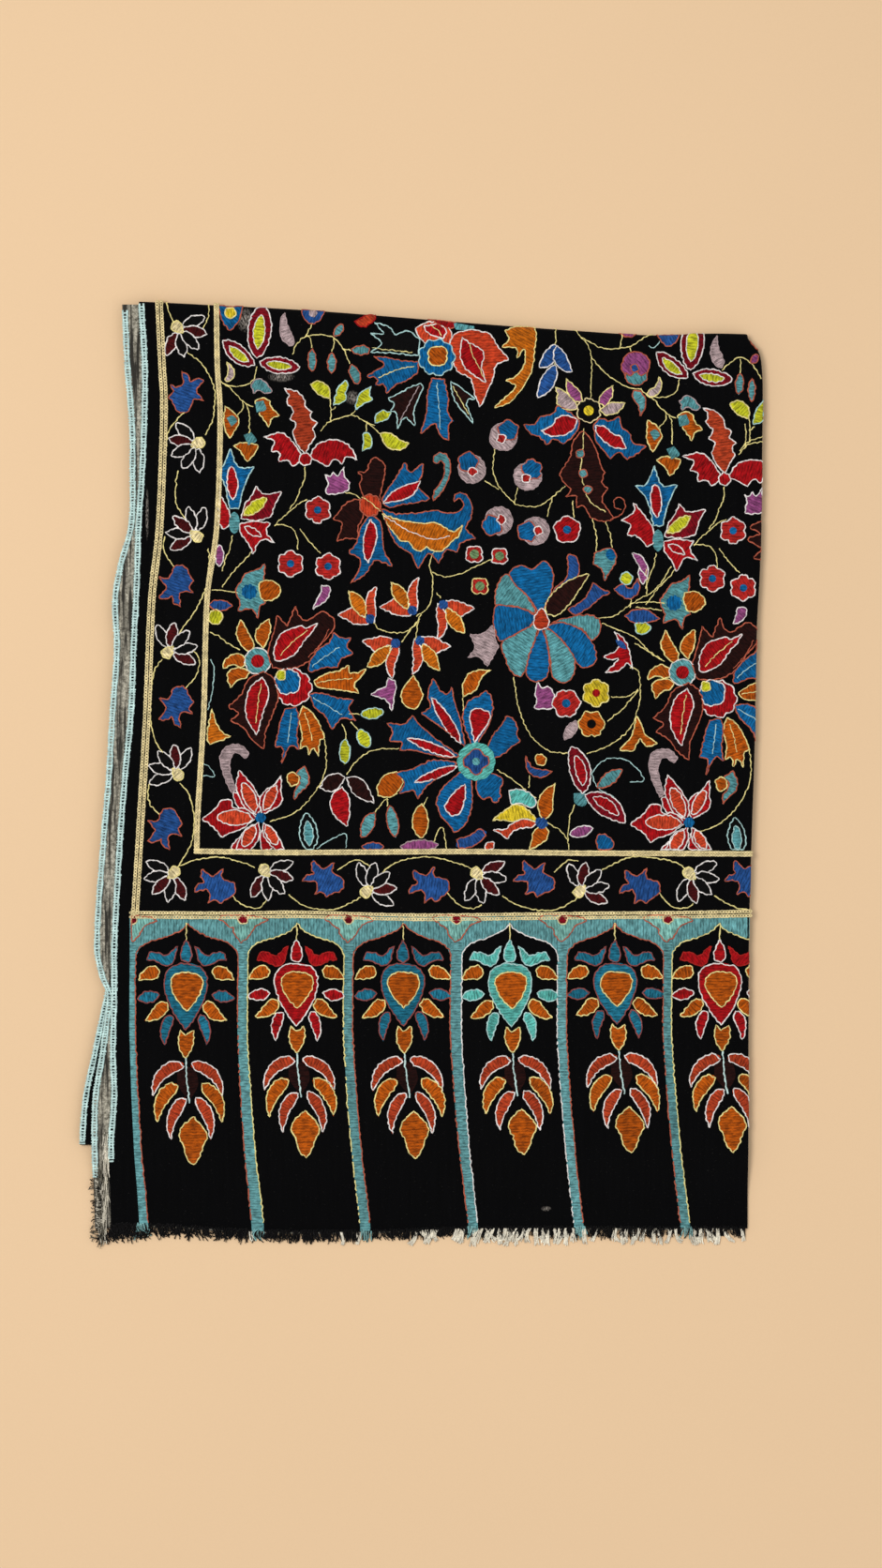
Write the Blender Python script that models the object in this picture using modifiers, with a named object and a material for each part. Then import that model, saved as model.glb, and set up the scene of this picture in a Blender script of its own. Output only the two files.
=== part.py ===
"""Kalamkari shawl, folded flat.

The cloth is doubled along its length, with the fold at the right, and then folded in three.
Each doubled thickness is one surface swept along the same path: up the top third, round the
fold at the top edge, back down the middle third and round the fold at its lower end. The
pieces that show are patches of that surface, and the folds inside share one solid.

X runs to the right across the shawl, Y from the fringed hem to the top fold, and Z up from
the surface that it lies on. The origin is under the middle of the folded shawl.
"""

import math
import random

import bmesh
import bpy

MM = 0.001

# Cloth
WALL = 1.4 * MM
AIR = 0.4 * MM
SEAM = 0.3 * MM

# Doubled cloth: half its thickness, and the height of its middle in each third
HALF = WALL + AIR / 2
PITCH = 2 * HALF + AIR
BOTTOM_THIRD = HALF
MIDDLE_THIRD = HALF + PITCH
TOP_THIRD = HALF + 2 * PITCH
TURN = PITCH / 2
REACH = TURN + HALF

# The top third runs past the lower fold and falls to the surface over this length
DRAPE = 46 * MM
DRAPE_STARTS_INSIDE = 3 * MM

# Cloth carried on past a fold before the next piece takes over
LIP = 6 * MM
TOP_LIP = 24 * MM
HIDDEN_SEAM = 0.9 * MM
RIGHT_STEP = 1.2 * MM

# Fringe
STRIP_WIDE = 1.5 * MM
STRIP_THICK = 0.8 * MM
STRAND_SHARE = 0.42
STRAND_PARTS = 2
STRAND_TIP = 0.45
ROOT_LEAN = 0.4
TOP_FRINGE = {"strands": 132, "height": 2.5 * MM, "droop": 0.7 * MM, "longest": 11 * MM, "seed": 3}
SECOND_FRINGE = {"strands": 64, "height": 0.75 * MM, "droop": 0.15 * MM, "longest": 10 * MM, "seed": 8}


def table(columns, *rows):
    """Named columns of sizes, written in millimetres and kept in metres."""
    return {name: [row[i] * MM for row in rows] for i, name in enumerate(columns.split())}


# Long edges, a row for each section from the top fold down to the hem
SELVEDGES = table(
    "y top second third",
    (379, -226, -239.5, -236.5),
    (326, -223, -237, -232),
    (282, -223.5, -233.5, -229.5),
    (245, -225, -233, -229.5),
    (200, -228, -234, -230.5),
    (170, -229, -242, -235.5),
    (140, -230, -247, -239.5),
    (102, -232, -245.5, -239.5),
    (50, -234, -249, -242.5),
    (-2, -239, -252, -246),
    (-55, -243, -256.5, -250),
    (-137, -247.5, -261.5, -253),
    (-160, -247.5, -257.5, -253),
    (-176, -247.5, -251.5, -253.5),
    (-197, -248, -253.5, -258),
    (-226, -248.5, -257.5, -264),
    (-257, -247.5, -262.5, -270.5),
    (-296, -250, -263.5, -273.5),
    (-363, -249, -262, -273.5),
)
RIGHT_FOLD = table(
    "y x",
    (355, 258),
    (346, 264),
    (338, 270.5),
    (323, 273),
    (297, 273.5),
    (170, 271.5),
    (110, 268.5),
    (20, 267),
    (-55, 264.5),
    (-130, 262.5),
    (-363, 262),
)
# Edges across the shawl, a row for each section from left to right
TOP_FOLD = table(
    "x y",
    (-248, 379),
    (-224, 379),
    (-163, 376),
    (-82, 371.5),
    (38, 362),
    (113, 356.5),
    (188, 352),
    (233, 353.5),
    (263, 353),
)
LOWER_FOLD = table("x y", (-274, -296.5), (-120, -297), (263, -299))
HEM = table("x y", (-264, -362), (-220, -361), (-127, -366), (-37, -366), (38, -363.5), (263, -363.5))

# The second layer's hem reaches a little past the top one's, and its top fold lies inside it
SECOND_LONGER = 1.6 * MM
SECOND_TUCKED = 0.5 * MM
HEM_SHARE = 0.02

# Broad soft swells that lift the top panel off the layers under it
SWELLS = table(
    "x y half_long half_wide rise",
    (-60, 250, 150, 34, 0.7),
    (120, 120, 130, 40, 0.9),
    (-110, 10, 120, 36, 0.8),
    (60, -110, 170, 38, 0.7),
    (190, -20, 60, 90, 0.6),
    (-150, -230, 90, 40, 0.6),
    (130, -240, 110, 42, 0.7),
)
SWELL_FADE = 1.6
# Share of the panel's width or length over which the swells die out at its edges
FADE_ACROSS, FADE_AT_HEM, FADE_AT_TOP = 0.08, 0.16, 0.06

# Inner folds, a ring for each level: height, then how far it lies inside each edge of the stack
INNER_RINGS = table(
    "z left right top lower",
    (0.0, 4.0, 2.2, 5.2, 4.9),
    (0.3, 3.3, 1.2, 4.6, 4.2),
    (1.1, 3.2, 0.5, 4.5, 4.1),
    (1.5, 4.0, 0.4, 5.2, 4.1),
    (1.7, 5.4, 0.4, 7.0, 4.1),
    (1.9, 2.6, 0.4, 5.0, 4.1),
    (2.1, 1.9, 0.5, 4.4, 4.1),
    (2.9, 1.9, 1.2, 4.4, 4.1),
    (3.2, 2.6, 2.2, 5.0, 4.3),
    (3.4, 5.6, 10.6, 28.6, 4.3),
    (3.6, 3.4, 10.2, 28.4, 2.6),
    (3.9, 2.8, 10.0, 28.2, 2.4),
    (4.6, 2.8, 10.0, 28.2, 3.0),
    (5.0, 3.5, 10.2, 28.4, 4.3),
)
RING_SIDE_STEPS = {"left": 26, "lower": 8, "right": 16, "top": 12}
CORNER_PULL = 0.85

# How many faces each patch has: across, near its selvedge, down, over the drape and round a fold
ACROSS, EDGE, DOWN, OVER, ROUND = 15, 4, 24, 9, 5
EDGE_SHARE = 0.12
DRAPE_SHARE = (0.03, 0.108)

COLOURS = {
    "top_panel": ((0.012, 0.012, 0.014), 0.85),
    "second_layer": ((0.16, 0.155, 0.15), 0.9),
    "third_layer": ((0.012, 0.012, 0.014), 0.85),
    "inner_folds": ((0.011, 0.011, 0.013), 0.9),
    "top_fringe": ((0.02, 0.02, 0.022), 0.9),
    "second_fringe": ((0.2, 0.19, 0.17), 0.9),
}


def smooth(tab, key, column, at):
    """Value of a column at a place along the key column, on a smooth curve through the rows."""
    keys, values = tab[key], tab[column]
    if keys[0] > keys[-1]:
        keys, values = keys[::-1], values[::-1]
    if at <= keys[0] or at >= keys[-1]:
        return values[0] if at <= keys[0] else values[-1]
    i = max(j for j in range(len(keys) - 1) if keys[j] <= at)
    gap = keys[i + 1] - keys[i]
    t = (at - keys[i]) / gap

    def slope(j):
        before, after = max(j - 1, 0), min(j + 1, len(keys) - 1)
        return (values[after] - values[before]) / (keys[after] - keys[before])

    a, b = values[i], values[i + 1]
    blend = t * t * (3 - 2 * t)
    bend = (t * (1 - t) ** 2) * slope(i) * gap - (t * t * (1 - t)) * slope(i + 1) * gap
    return a + (b - a) * blend + bend


def ease(t):
    """Soft step from 0 to 1."""
    t = min(max(t, 0.0), 1.0)
    return t * t * (3 - 2 * t)


def right_fold(y):
    return smooth(RIGHT_FOLD, "y", "x", y)


def selvedge(layer, y):
    return smooth(SELVEDGES, "y", layer, y)


def top_third_height(x, y):
    """Middle of the top third: on the surface at the hem, and over the lower fold above it."""
    start = smooth(LOWER_FOLD, "x", "y", x) + DRAPE_STARTS_INSIDE
    return BOTTOM_THIRD + (TOP_THIRD - BOTTOM_THIRD) * ease((y - start + DRAPE) / DRAPE)


def path(x, v, longer=0.0, tucked=0.0):
    """Middle of the doubled cloth at a column: y, z and the way that its printed side faces.

    v runs 0 to 1 up the top third, to 2 round the top fold, to 3 down the middle third, and
    to 4 round the lower fold.
    """
    foot = smooth(HEM, "x", "y", x)
    top = smooth(TOP_FOLD, "x", "y", x) - REACH - tucked
    low = smooth(LOWER_FOLD, "x", "y", x) + REACH
    if v <= 1:
        y = foot + (top - foot) * v - longer * max(0.0, 1 - v / HEM_SHARE)
        step = 0.5 * MM
        rise = (top_third_height(x, y + step) - top_third_height(x, y - step)) / (2 * step)
        long = math.hypot(1, rise)
        return y, top_third_height(x, y), -rise / long, 1 / long
    if v <= 2:
        turn = math.pi * (v - 1)
        y, z = top + TURN * math.sin(turn), (TOP_THIRD + MIDDLE_THIRD) / 2 + TURN * math.cos(turn)
        return y, z, math.sin(turn), math.cos(turn)
    if v <= 3:
        return top + (low - top) * (v - 2), MIDDLE_THIRD, 0.0, -1.0
    turn = math.pi * (v - 3)
    y, z = low - TURN * math.sin(turn), (MIDDLE_THIRD + BOTTOM_THIRD) / 2 + TURN * math.cos(turn)
    return y, z, math.sin(turn), -math.cos(turn)


def swell(x, y):
    """How far the top panel rises above its layer."""
    high = 0.0
    for i, rise in enumerate(SWELLS["rise"]):
        a = (x - SWELLS["x"][i]) / SWELLS["half_long"][i]
        b = (y - SWELLS["y"][i]) / SWELLS["half_wide"][i]
        high += rise * math.exp(-SWELL_FADE * (a * a + b * b))
    return high


def across(u, y, layer, inset):
    """Place across the doubled cloth: x, and how far the outer face stands from the middle.

    u runs 0 to 1 from the top layer's selvedge to the fold, to 2 round the fold, and to 3 back
    to the under layer's selvedge.
    """
    fold = right_fold(y) - inset - HALF
    if u <= 1:
        left = selvedge(layer, y)
        return left + (fold - left) * u, HALF
    if u <= 2:
        turn = math.pi * (u - 1)
        return fold + HALF * math.sin(turn), HALF * math.cos(turn)
    left = selvedge(layer, y)
    return fold + (left - fold) * (u - 2), -HALF


def place(u, v, layer):
    """Point of the outer face of the doubled cloth."""
    inset = RIGHT_STEP if layer == "third" else 0.0
    slack = (SECOND_LONGER, SECOND_TUCKED) if layer == "second" else (0.0, 0.0)
    x, out = 0.0, 0.0
    y = path(x, v, *slack)[0]
    for _ in range(3):
        x, out = across(u, y, layer, inset)
        y = path(x, v, *slack)[0]
    y, z, facing_y, facing_z = path(x, v, *slack)
    return x, y + facing_y * out, z + facing_z * out


def steps(*stretches):
    """Stations along a patch: each stretch is a start, an end and a number of faces."""
    stations = [stretches[0][0]]
    for start, end, faces in stretches:
        stations += [start + (end - start) * (i + 1) / faces for i in range(faces)]
    return stations


def new_object(name, body):
    """Object in the shawl's collection, with its own plain material."""
    mesh = bpy.data.meshes.new(name)
    body.to_mesh(mesh)
    body.free()
    mesh.shade_smooth()
    mesh.set_sharp_from_angle(angle=math.radians(50))
    colour, rough = COLOURS[name]
    material = bpy.data.materials.new(name)
    material.use_nodes = True
    shader = material.node_tree.nodes["Principled BSDF"]
    shader.inputs["Base Color"].default_value = (*colour, 1)
    shader.inputs["Roughness"].default_value = rough
    shader.inputs["Metallic"].default_value = 0.0
    mesh.materials.append(material)
    obj = bpy.data.objects.new(name, mesh)
    bpy.data.collections["Kalamkari shawl"].objects.link(obj)
    return obj


def lifted(u, v, point):
    """A point of the top panel, raised by its swells, which die out towards its edges."""
    if u > 1 or v > 1:
        return point
    x, y, z = point
    sides = ease(u / FADE_ACROSS) * ease((1 - u) / FADE_ACROSS)
    ends = ease(v / FADE_AT_HEM) * ease((1 - v) / FADE_AT_TOP)
    return x, y, z + swell(x, y) * sides * ends


def patch(name, us, vs, layer):
    """Cloth wall: a patch of the outer face, thickened towards the middle of the doubled cloth."""
    grid = bmesh.new()
    rows = []
    for v in vs:
        points = [place(u, v, layer) for u in us]
        if layer == "top":
            points = [lifted(u, v, point) for u, point in zip(us, points)]
        rows.append([grid.verts.new(point) for point in points])
    for below, above in zip(rows, rows[1:]):
        for i in range(len(us) - 1):
            grid.faces.new((below[i], below[i + 1], above[i + 1], above[i]))
    obj = new_object(name, grid)
    thick = obj.modifiers.new("Cloth thickness", "SOLIDIFY")
    thick.thickness = WALL
    thick.offset = -1
    return obj


def ring(i):
    """Outline of the inner folds at one level, anticlockwise from the top left corner."""
    inset = {side: INNER_RINGS[side][i] for side in RING_SIDE_STEPS}
    low = LOWER_FOLD["y"][0] + inset["lower"]
    high = TOP_FOLD["y"][0] - inset["top"]

    def corner(x_side, y_side):
        guess = low if y_side == "lower" else high
        for _ in range(3):
            x = edge_x(x_side, guess)
            guess = edge_y(y_side, x)
        return x, guess

    def edge_x(side, y):
        if side == "left":
            return max(selvedge("third", y), selvedge("second", y)) + inset["left"]
        return right_fold(y) - 2 * RIGHT_STEP - inset["right"]

    def edge_y(side, x):
        if side == "lower":
            return smooth(LOWER_FOLD, "x", "y", x) + inset["lower"]
        return smooth(TOP_FOLD, "x", "y", x) - inset["top"]

    turns = [("left", "top"), ("left", "lower"), ("right", "lower"), ("right", "top")]
    corners = [corner(*turn) for turn in turns]
    outline = []
    for side, (start, end) in zip(RING_SIDE_STEPS, zip(corners, corners[1:] + corners[:1])):
        count = RING_SIDE_STEPS[side]
        for k in range(count):
            share = (k + 0.5) / count
            t = share - CORNER_PULL * math.sin(2 * math.pi * share) / (2 * math.pi)
            x = start[0] + (end[0] - start[0]) * t
            y = start[1] + (end[1] - start[1]) * t
            if side in ("left", "right"):
                x = edge_x(side, y)
            else:
                y = edge_y(side, x)
            outline.append((x, y, INNER_RINGS["z"][i]))
    return outline


def inner_folds():
    """The folds inside, as one solid with its layers showing round the edges."""
    body = bmesh.new()
    rings = [[body.verts.new(p) for p in ring(i)] for i in range(len(INNER_RINGS["z"]))]
    for below, above in zip(rings, rings[1:]):
        for k in range(len(below)):
            nxt = (k + 1) % len(below)
            body.faces.new((below[k], below[nxt], above[nxt], above[k]))
    body.faces.new(rings[0][::-1])
    body.faces.new(rings[-1])
    return new_object("inner_folds", body)


def hem_edge(layer, us):
    """The hem's points from left to right, at the height of its outer face."""
    return sorted(place(u, 0, layer) for u in us)


def along(points, x):
    """How far down the hem lies at x, straight from one of its points to the next."""
    for (x0, y0, _), (x1, y1, _) in zip(points, points[1:]):
        if x <= x1 or (x1, y1) == points[-1][:2]:
            return y0 + (y1 - y0) * (x - x0) / (x1 - x0)


def fringe(name, hem, sizes):
    """Narrow strip outside a hem, with tapering strands that grow out of its front."""
    wild = random.Random(sizes["seed"])
    left, right = hem[0][0], hem[-1][0]
    pitch = (right - left) / sizes["strands"]
    body = bmesh.new()
    stations = [left + pitch * (i + part) for i in range(sizes["strands"]) for part in (0, STRAND_SHARE)]
    low = sizes["height"] - STRIP_THICK / 2
    high = low + STRIP_THICK
    rings = []
    for x in stations + [right]:
        back = along(hem, x) - SEAM
        front = back - STRIP_WIDE
        corners = ((back, high), (back, low), (front, low), (front, high))
        rings.append([body.verts.new((x, y, z)) for y, z in corners])
    roots = []
    for i, (here, there) in enumerate(zip(rings, rings[1:])):
        for k in range(4):
            nxt = (k + 1) % 4
            face = body.faces.new((here[k], here[nxt], there[nxt], there[k]))
            if k == 2 and i % 2 == 0:
                roots.append(face)
    body.faces.new(rings[0][::-1])
    body.faces.new(rings[-1])
    lean = 0.0
    for face in bmesh.ops.extrude_discrete_faces(body, faces=roots)["faces"]:
        lean = 0.75 * lean + wild.uniform(-0.11, 0.11)
        droop = sizes["droop"] * wild.uniform(0.75, 1.0)
        grow(body, face, lean, droop, sizes["longest"] * wild.uniform(0.55, 1.0))
    bmesh.ops.recalc_face_normals(body, faces=body.faces[:])
    return new_object(name, body)


def grow(body, face, lean, drop, long):
    """Draws one strand out of its root in short parts, each thinner and lower than the last."""
    for part in range(STRAND_PARTS):
        if part:
            face = bmesh.ops.extrude_discrete_faces(body, faces=[face])["faces"][0]
        share = (part + 1) / STRAND_PARTS
        middle = face.calc_center_median()
        thin = STRAND_TIP ** (1 / STRAND_PARTS)
        for vert in face.verts:
            away = vert.co - middle
            vert.co = middle + away * thin
            vert.co.x += lean * long / STRAND_PARTS * (ROOT_LEAN + share)
            vert.co.y -= long / STRAND_PARTS
            vert.co.z -= drop / STRAND_PARTS


def build():
    """All the pieces, from the top panel down."""
    lip = LIP / (RIGHT_FOLD["x"][-1] - SELVEDGES["top"][-1])
    seam = SEAM / (RIGHT_FOLD["x"][-1] - SELVEDGES["second"][-1])
    length = TOP_FOLD["y"][0] - LOWER_FOLD["y"][0]
    past, hidden_seam = TOP_LIP / length, HIDDEN_SEAM / length
    near, far = DRAPE_SHARE
    up = steps((0, near, 3), (near, far, OVER), (far, 1, DOWN), (1, 2, ROUND), (2, 2 + past, 1))
    down = steps((2 + past + hidden_seam, 3, DOWN), (3, 3.85, ROUND))
    round_fold = (1, 2, ROUND)
    back = ((2, 3 - EDGE_SHARE, ACROSS // 2), (3 - EDGE_SHARE, 3, EDGE))
    inside = ((2 + lip + seam, 3 - EDGE_SHARE, ACROSS // 2), (3 - EDGE_SHARE, 3, EDGE))
    front = ((0, EDGE_SHARE, EDGE - 1), (EDGE_SHARE, 1, ACROSS))
    patch("top_panel", steps(*front, round_fold, (2, 2 + lip, 1)), up, "top")
    patch("second_layer", steps(*inside), up, "second")
    patch("third_layer", steps((1 - lip, 1, 1), round_fold, *back), down, "third")
    inner_folds()
    fringe("top_fringe", hem_edge("top", steps(*front)), TOP_FRINGE)
    fringe("second_fringe", hem_edge("second", steps(*inside)), SECOND_FRINGE)


def main():
    for obj in list(bpy.data.objects):
        bpy.data.objects.remove(obj, do_unlink=True)
    shawl = bpy.data.collections.new("Kalamkari shawl")
    bpy.context.scene.collection.children.link(shawl)
    build()


main()
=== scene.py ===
"""Kalamkari shawl, folded flat: its cloth, embroidery, cords, edge stitches and fringe.

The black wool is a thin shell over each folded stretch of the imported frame. Embroidery is placed
on the flat cloth and follows it over the folds: stitched fills are low domed patches, and their
outlines, stems, cords and edge stitches are threads laid along the cloth.

X runs to the right across the shawl, Y from the fringed hem to the top fold, and Z up from the
surface that it lies on, in metres.
"""

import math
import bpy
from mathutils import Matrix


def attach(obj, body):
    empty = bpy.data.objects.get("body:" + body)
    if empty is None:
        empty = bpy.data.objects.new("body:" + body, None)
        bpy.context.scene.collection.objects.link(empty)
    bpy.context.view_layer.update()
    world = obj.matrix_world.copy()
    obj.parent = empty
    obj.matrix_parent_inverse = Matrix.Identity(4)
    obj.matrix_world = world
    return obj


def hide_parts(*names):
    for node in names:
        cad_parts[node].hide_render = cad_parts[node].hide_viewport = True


bl_info = {
    "name": "Kalamkari shawl",
    "version": (1, 0, 0),
    "blender": (4, 5, 0),
    "location": "3D View > Sidebar > Shawl",
    "description": "Builds a folded kalamkari shawl on its packed frame",
    "category": "Object",
}

import bpy
import numpy as np
from mathutils import Vector
from mathutils.geometry import delaunay_2d_cdt

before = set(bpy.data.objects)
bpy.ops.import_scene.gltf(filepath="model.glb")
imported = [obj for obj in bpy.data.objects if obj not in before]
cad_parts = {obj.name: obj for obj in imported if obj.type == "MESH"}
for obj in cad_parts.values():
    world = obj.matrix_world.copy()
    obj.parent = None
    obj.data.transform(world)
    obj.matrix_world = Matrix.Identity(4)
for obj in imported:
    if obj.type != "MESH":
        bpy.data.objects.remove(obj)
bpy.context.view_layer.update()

MM = 0.001
BODY = "root"

# Cloth and folds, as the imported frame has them
WALL = 1.4 * MM
AIR = 0.4 * MM
SEAM = 0.3 * MM
HALF = WALL + AIR / 2
PITCH = 2 * HALF + AIR
BOTTOM_THIRD = HALF
MIDDLE_THIRD = HALF + PITCH
TOP_THIRD = HALF + 2 * PITCH
TURN = PITCH / 2
REACH = TURN + HALF
DRAPE = 46 * MM
DRAPE_STARTS_INSIDE = 3 * MM
LIP = 6 * MM
TOP_LIP = 24 * MM
HIDDEN_SEAM = 0.9 * MM
RIGHT_STEP = 1.2 * MM
SECOND_LONGER = 1.6 * MM
SECOND_TUCKED = 0.5 * MM
HEM_SHARE = 0.02

# The photograph's pixels on the cloth
PIXEL = 0.75 * MM
MIDDLE_PX = {"x": 449.25, "y": 826.5}
PHOTO = {"wide": 941, "high": 1672}
CAMERA_HEIGHT = 2.61
SENSOR = 36.0


def lines_of(text):
    """Lines of a chart as lists of words. An indented line goes on from the one before it."""
    rows = []
    for line in text.strip("\n").splitlines():
        if line.startswith(" "):
            rows[-1] += line.split()
        else:
            rows.append(line.split())
    return rows


def value_of(word):
    """A word of a chart: a number where it is one, and nothing for -."""
    if word == "-":
        return None
    return float(word) if word.lstrip("-").replace(".", "", 1).isdigit() else word


def named(columns, words):
    """A chart's words by the names of their columns. Columns left out at the end are empty."""
    names = columns.split()
    return {**dict.fromkeys(names), **dict(zip(names, map(value_of, words)))}


def rows_of(columns, text):
    """Rows of a chart by the names of their columns."""
    return [named(columns, words) for words in lines_of(text)]


def table(columns, text):
    """Named columns of sizes, written in millimetres and kept in metres."""
    rows = rows_of(columns, text)
    return {name: np.array([row[name] for row in rows]) * MM for name in columns.split()}


def between(rows, key, column, at):
    """Values of a chart's column at places along another column, on straight lines."""
    return np.interp(at, [row[key] for row in rows], [row[column] for row in rows])


# Long edges, a row for each section from the top fold down to the hem
SELVEDGES = table("y top second third", """
379 -226 -239.5 -236.5
326 -223 -237 -232
282 -223.5 -233.5 -229.5
245 -225 -233 -229.5
200 -228 -234 -230.5
170 -229 -242 -235.5
140 -230 -247 -239.5
102 -232 -245.5 -239.5
50 -234 -249 -242.5
-2 -239 -252 -246
-55 -243 -256.5 -250
-137 -247.5 -261.5 -253
-160 -247.5 -257.5 -253
-176 -247.5 -251.5 -253.5
-197 -248 -253.5 -258
-226 -248.5 -257.5 -264
-257 -247.5 -262.5 -270.5
-296 -250 -263.5 -273.5
-363 -249 -262 -273.5
""")
RIGHT_FOLD = table("y x", """
355 258
346 264
338 270.5
323 273
297 273.5
170 271.5
110 268.5
20 267
-55 264.5
-130 262.5
-363 262
""")
TOP_FOLD = table("x y", """
-248 379
-224 379
-163 376
-82 371.5
38 362
113 356.5
188 352
233 353.5
263 353
""")
LOWER_FOLD = table("x y", """
-274 -296.5
-120 -297
263 -299
""")
HEM = table("x y", """
-264 -362
-220 -361
-127 -366
-37 -366
38 -363.5
263 -363.5
""")

# Broad soft swells that lift the top panel off the layers under it
SWELLS = table("x y half_long half_wide rise", """
-60 250 150 34 0.7
120 120 130 40 0.9
-110 10 120 36 0.8
60 -110 170 38 0.7
190 -20 60 90 0.6
-150 -230 90 40 0.6
130 -240 110 42 0.7
""")
SWELL_FADE = 1.6
# Shares of the panel in which the swells, and the creases, fade: left, right, hem and top
BROAD_FADES, NEAR_FADES = (0.08, 0.08, 0.16, 0.06), (0.02, 0.03, 0.1, 0.02)

# Main creases, each from one end to the other, its half width and its rise or, if negative, its fall
CREASES = table("x y to_x to_y half_wide rise", """
-238 60 -226 330 5 0.35
-232 300 -229 180 4 -0.3
-205 352 20 338 9 -0.35
70 346 252 330 8 -0.3
254 300 250 60 9 0.4
243 250 238 -40 7 -0.35
-215 -118 250 -124 10 -0.35
-120 -142 180 -150 9 0.3
-190 120 -40 150 12 -0.4
-20 60 150 92 14 0.45
-90 -40 90 -22 11 -0.4
150 -60 235 -20 10 0.35
-160 230 60 214 13 0.4
90 190 230 222 12 -0.4
-228 -280 -100 -262 10 0.35
-60 -300 120 -284 12 0.4
130 -250 252 -262 10 -0.35
-30 -205 60 -340 9 -0.25
190 -150 205 -340 9 0.3
""")
RIPPLE = table("length rise", """
61 0.16
37 0.12
23 0.07
""")
RIPPLE_TURNS = (0.5, 1.9, 2.7)
RIPPLE_SWAY = {"bend": 1.7, "long": 3.1}
CREASE_SWAY = {"aside": 0.35, "turns": 7, "shift": 31}
CREASE_ENDS = (2.6, 2.2)

# Inner folds, a ring for each level: height, then how far it lies inside each edge of the stack
INNER_RINGS = table("z left right top lower", """
0 4 2.2 5.2 4.9
0.12 3.6 1.6 4.9 4.5
0.35 3.3 1 4.6 4.2
0.7 3.2 0.6 4.5 4.1
1.1 3.3 0.5 4.6 4.1
1.35 3.7 0.4 4.9 4.1
1.5 4.3 0.4 5.4 4.1
1.62 6.4 0.4 8 4.1
1.74 3.2 0.4 5.3 4.1
1.9 2.3 0.4 4.7 4.1
2.2 1.9 0.5 4.4 4.1
2.6 1.8 0.8 4.3 4.1
2.95 2.1 1.3 4.5 4.1
3.2 2.8 2.4 5.1 4.3
3.4 5.8 10.8 28.8 4.3
3.56 3.6 10.3 28.5 2.8
3.8 2.9 10.05 28.25 2.45
4.2 2.7 10 28.2 2.4
4.7 3 10.05 28.25 3.1
5 3.6 10.2 28.4 4.3
""")
RING_SIDE_STEPS = {"left": 90, "lower": 40, "right": 70, "top": 40}
CORNER_PULL = 0.85
# A wander of the hidden layers' edges, kept clear of the cloth round them
LAYER_WANDER = 0.25 * MM

# Faces across, down and round each shell
TOP_GRID = {"across": 158, "round": 7, "lip": 2, "down": 236, "over": 9, "tuck": 4}
STRIP_GRID = {"hidden": 24, "edge": 10, "down": 150, "round": 8}
EDGE_SHARE = 0.12


# The photograph's colours, as they look on a screen
DYES = {
    row["dye"]: (row["red"], row["green"], row["blue"])
    for row in rows_of("dye red green blue", """
black 15 14 15
crimson 168 22 28
red 205 72 44
rust 182 86 20
amber 196 104 24
lemon 228 200 50
lime 200 202 46
cream 240 222 168
straw 248 234 156
white 246 241 238
salmon 190 98 76
royal 42 84 148
azure 20 100 156
petrol 38 116 143
dusk 150 82 80
slate 92 156 162
aqua 96 188 178
mist 184 224 222
pale_teal 204 234 231
sea 104 162 166
light_sea 130 190 180
faded_teal 138 188 188
fleece 238 231 212
char 22 21 22
ash 104 100 88
plum 150 78 130
mauve 182 160 162
maroon 74 20 22
wine 124 18 32
brick 180 42 38
tile 178 66 38
coral 198 67 38
olive 118 150 104
bark 42 19 17
""")
}
# The third colour is that of the pale patches: partly wear, partly painted sheen highlight.
WOOL = {"ground": (11, 11, 12), "lint": (110, 106, 102), "worn": (158, 150, 142), "lint_share": 0.4}
# The gap colour is painted shade, laid in dark lengthwise streaks for the wrinkles of the wrong side.
WRONG_SIDE = {"ground": (92, 88, 78), "ends": (206, 200, 182), "gap": (58, 56, 52)}


def linear(colour):
    """Linear red, green and blue of a screen colour."""
    return tuple((c / 255) ** 2.2 for c in colour)


# Measures on the cloth


def smooth(tab, key, column, at):
    """Values of a column at places along the key column, on a smooth curve through the rows."""
    order = np.argsort(tab[key])
    keys, values = tab[key][order], tab[column][order]
    at = np.clip(np.asarray(at, float), keys[0], keys[-1])
    i = np.clip(np.searchsorted(keys, at, side="right") - 1, 0, len(keys) - 2)
    before = np.maximum(np.arange(len(keys)) - 1, 0)
    after = np.minimum(np.arange(len(keys)) + 1, len(keys) - 1)
    slopes = (values[after] - values[before]) / (keys[after] - keys[before])
    gap = keys[i + 1] - keys[i]
    t = (at - keys[i]) / gap
    blend = t * t * (3 - 2 * t)
    bend = t * (1 - t) ** 2 * slopes[i] * gap - t * t * (1 - t) * slopes[i + 1] * gap
    return values[i] + (values[i + 1] - values[i]) * blend + bend


def ease(t):
    """Soft step from 0 to 1."""
    t = np.clip(t, 0.0, 1.0)
    return t * t * (3 - 2 * t)


def right_fold(y):
    """Where the right fold lies at a height."""
    return smooth(RIGHT_FOLD, "y", "x", y)


def selvedge(layer, y):
    """Where a layer's left edge lies at a height."""
    return smooth(SELVEDGES, "y", layer, y)


def hem(x):
    """Height of the top panel's hem at a place across."""
    return smooth(HEM, "x", "y", x)


def top_line(x):
    """Where the outer face starts to turn over the top fold."""
    return smooth(TOP_FOLD, "x", "y", x) - REACH


def top_third_height(x, y):
    """Middle of the top third: on the surface at the hem, and over the lower fold above it."""
    start = smooth(LOWER_FOLD, "x", "y", x) + DRAPE_STARTS_INSIDE
    return BOTTOM_THIRD + (TOP_THIRD - BOTTOM_THIRD) * ease((y - start + DRAPE) / DRAPE)


def slope_of_height(x, y):
    """How steeply the top third rises up its length."""
    step = 0.5 * MM
    return (top_third_height(x, y + step) - top_third_height(x, y - step)) / (2 * step)


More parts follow.
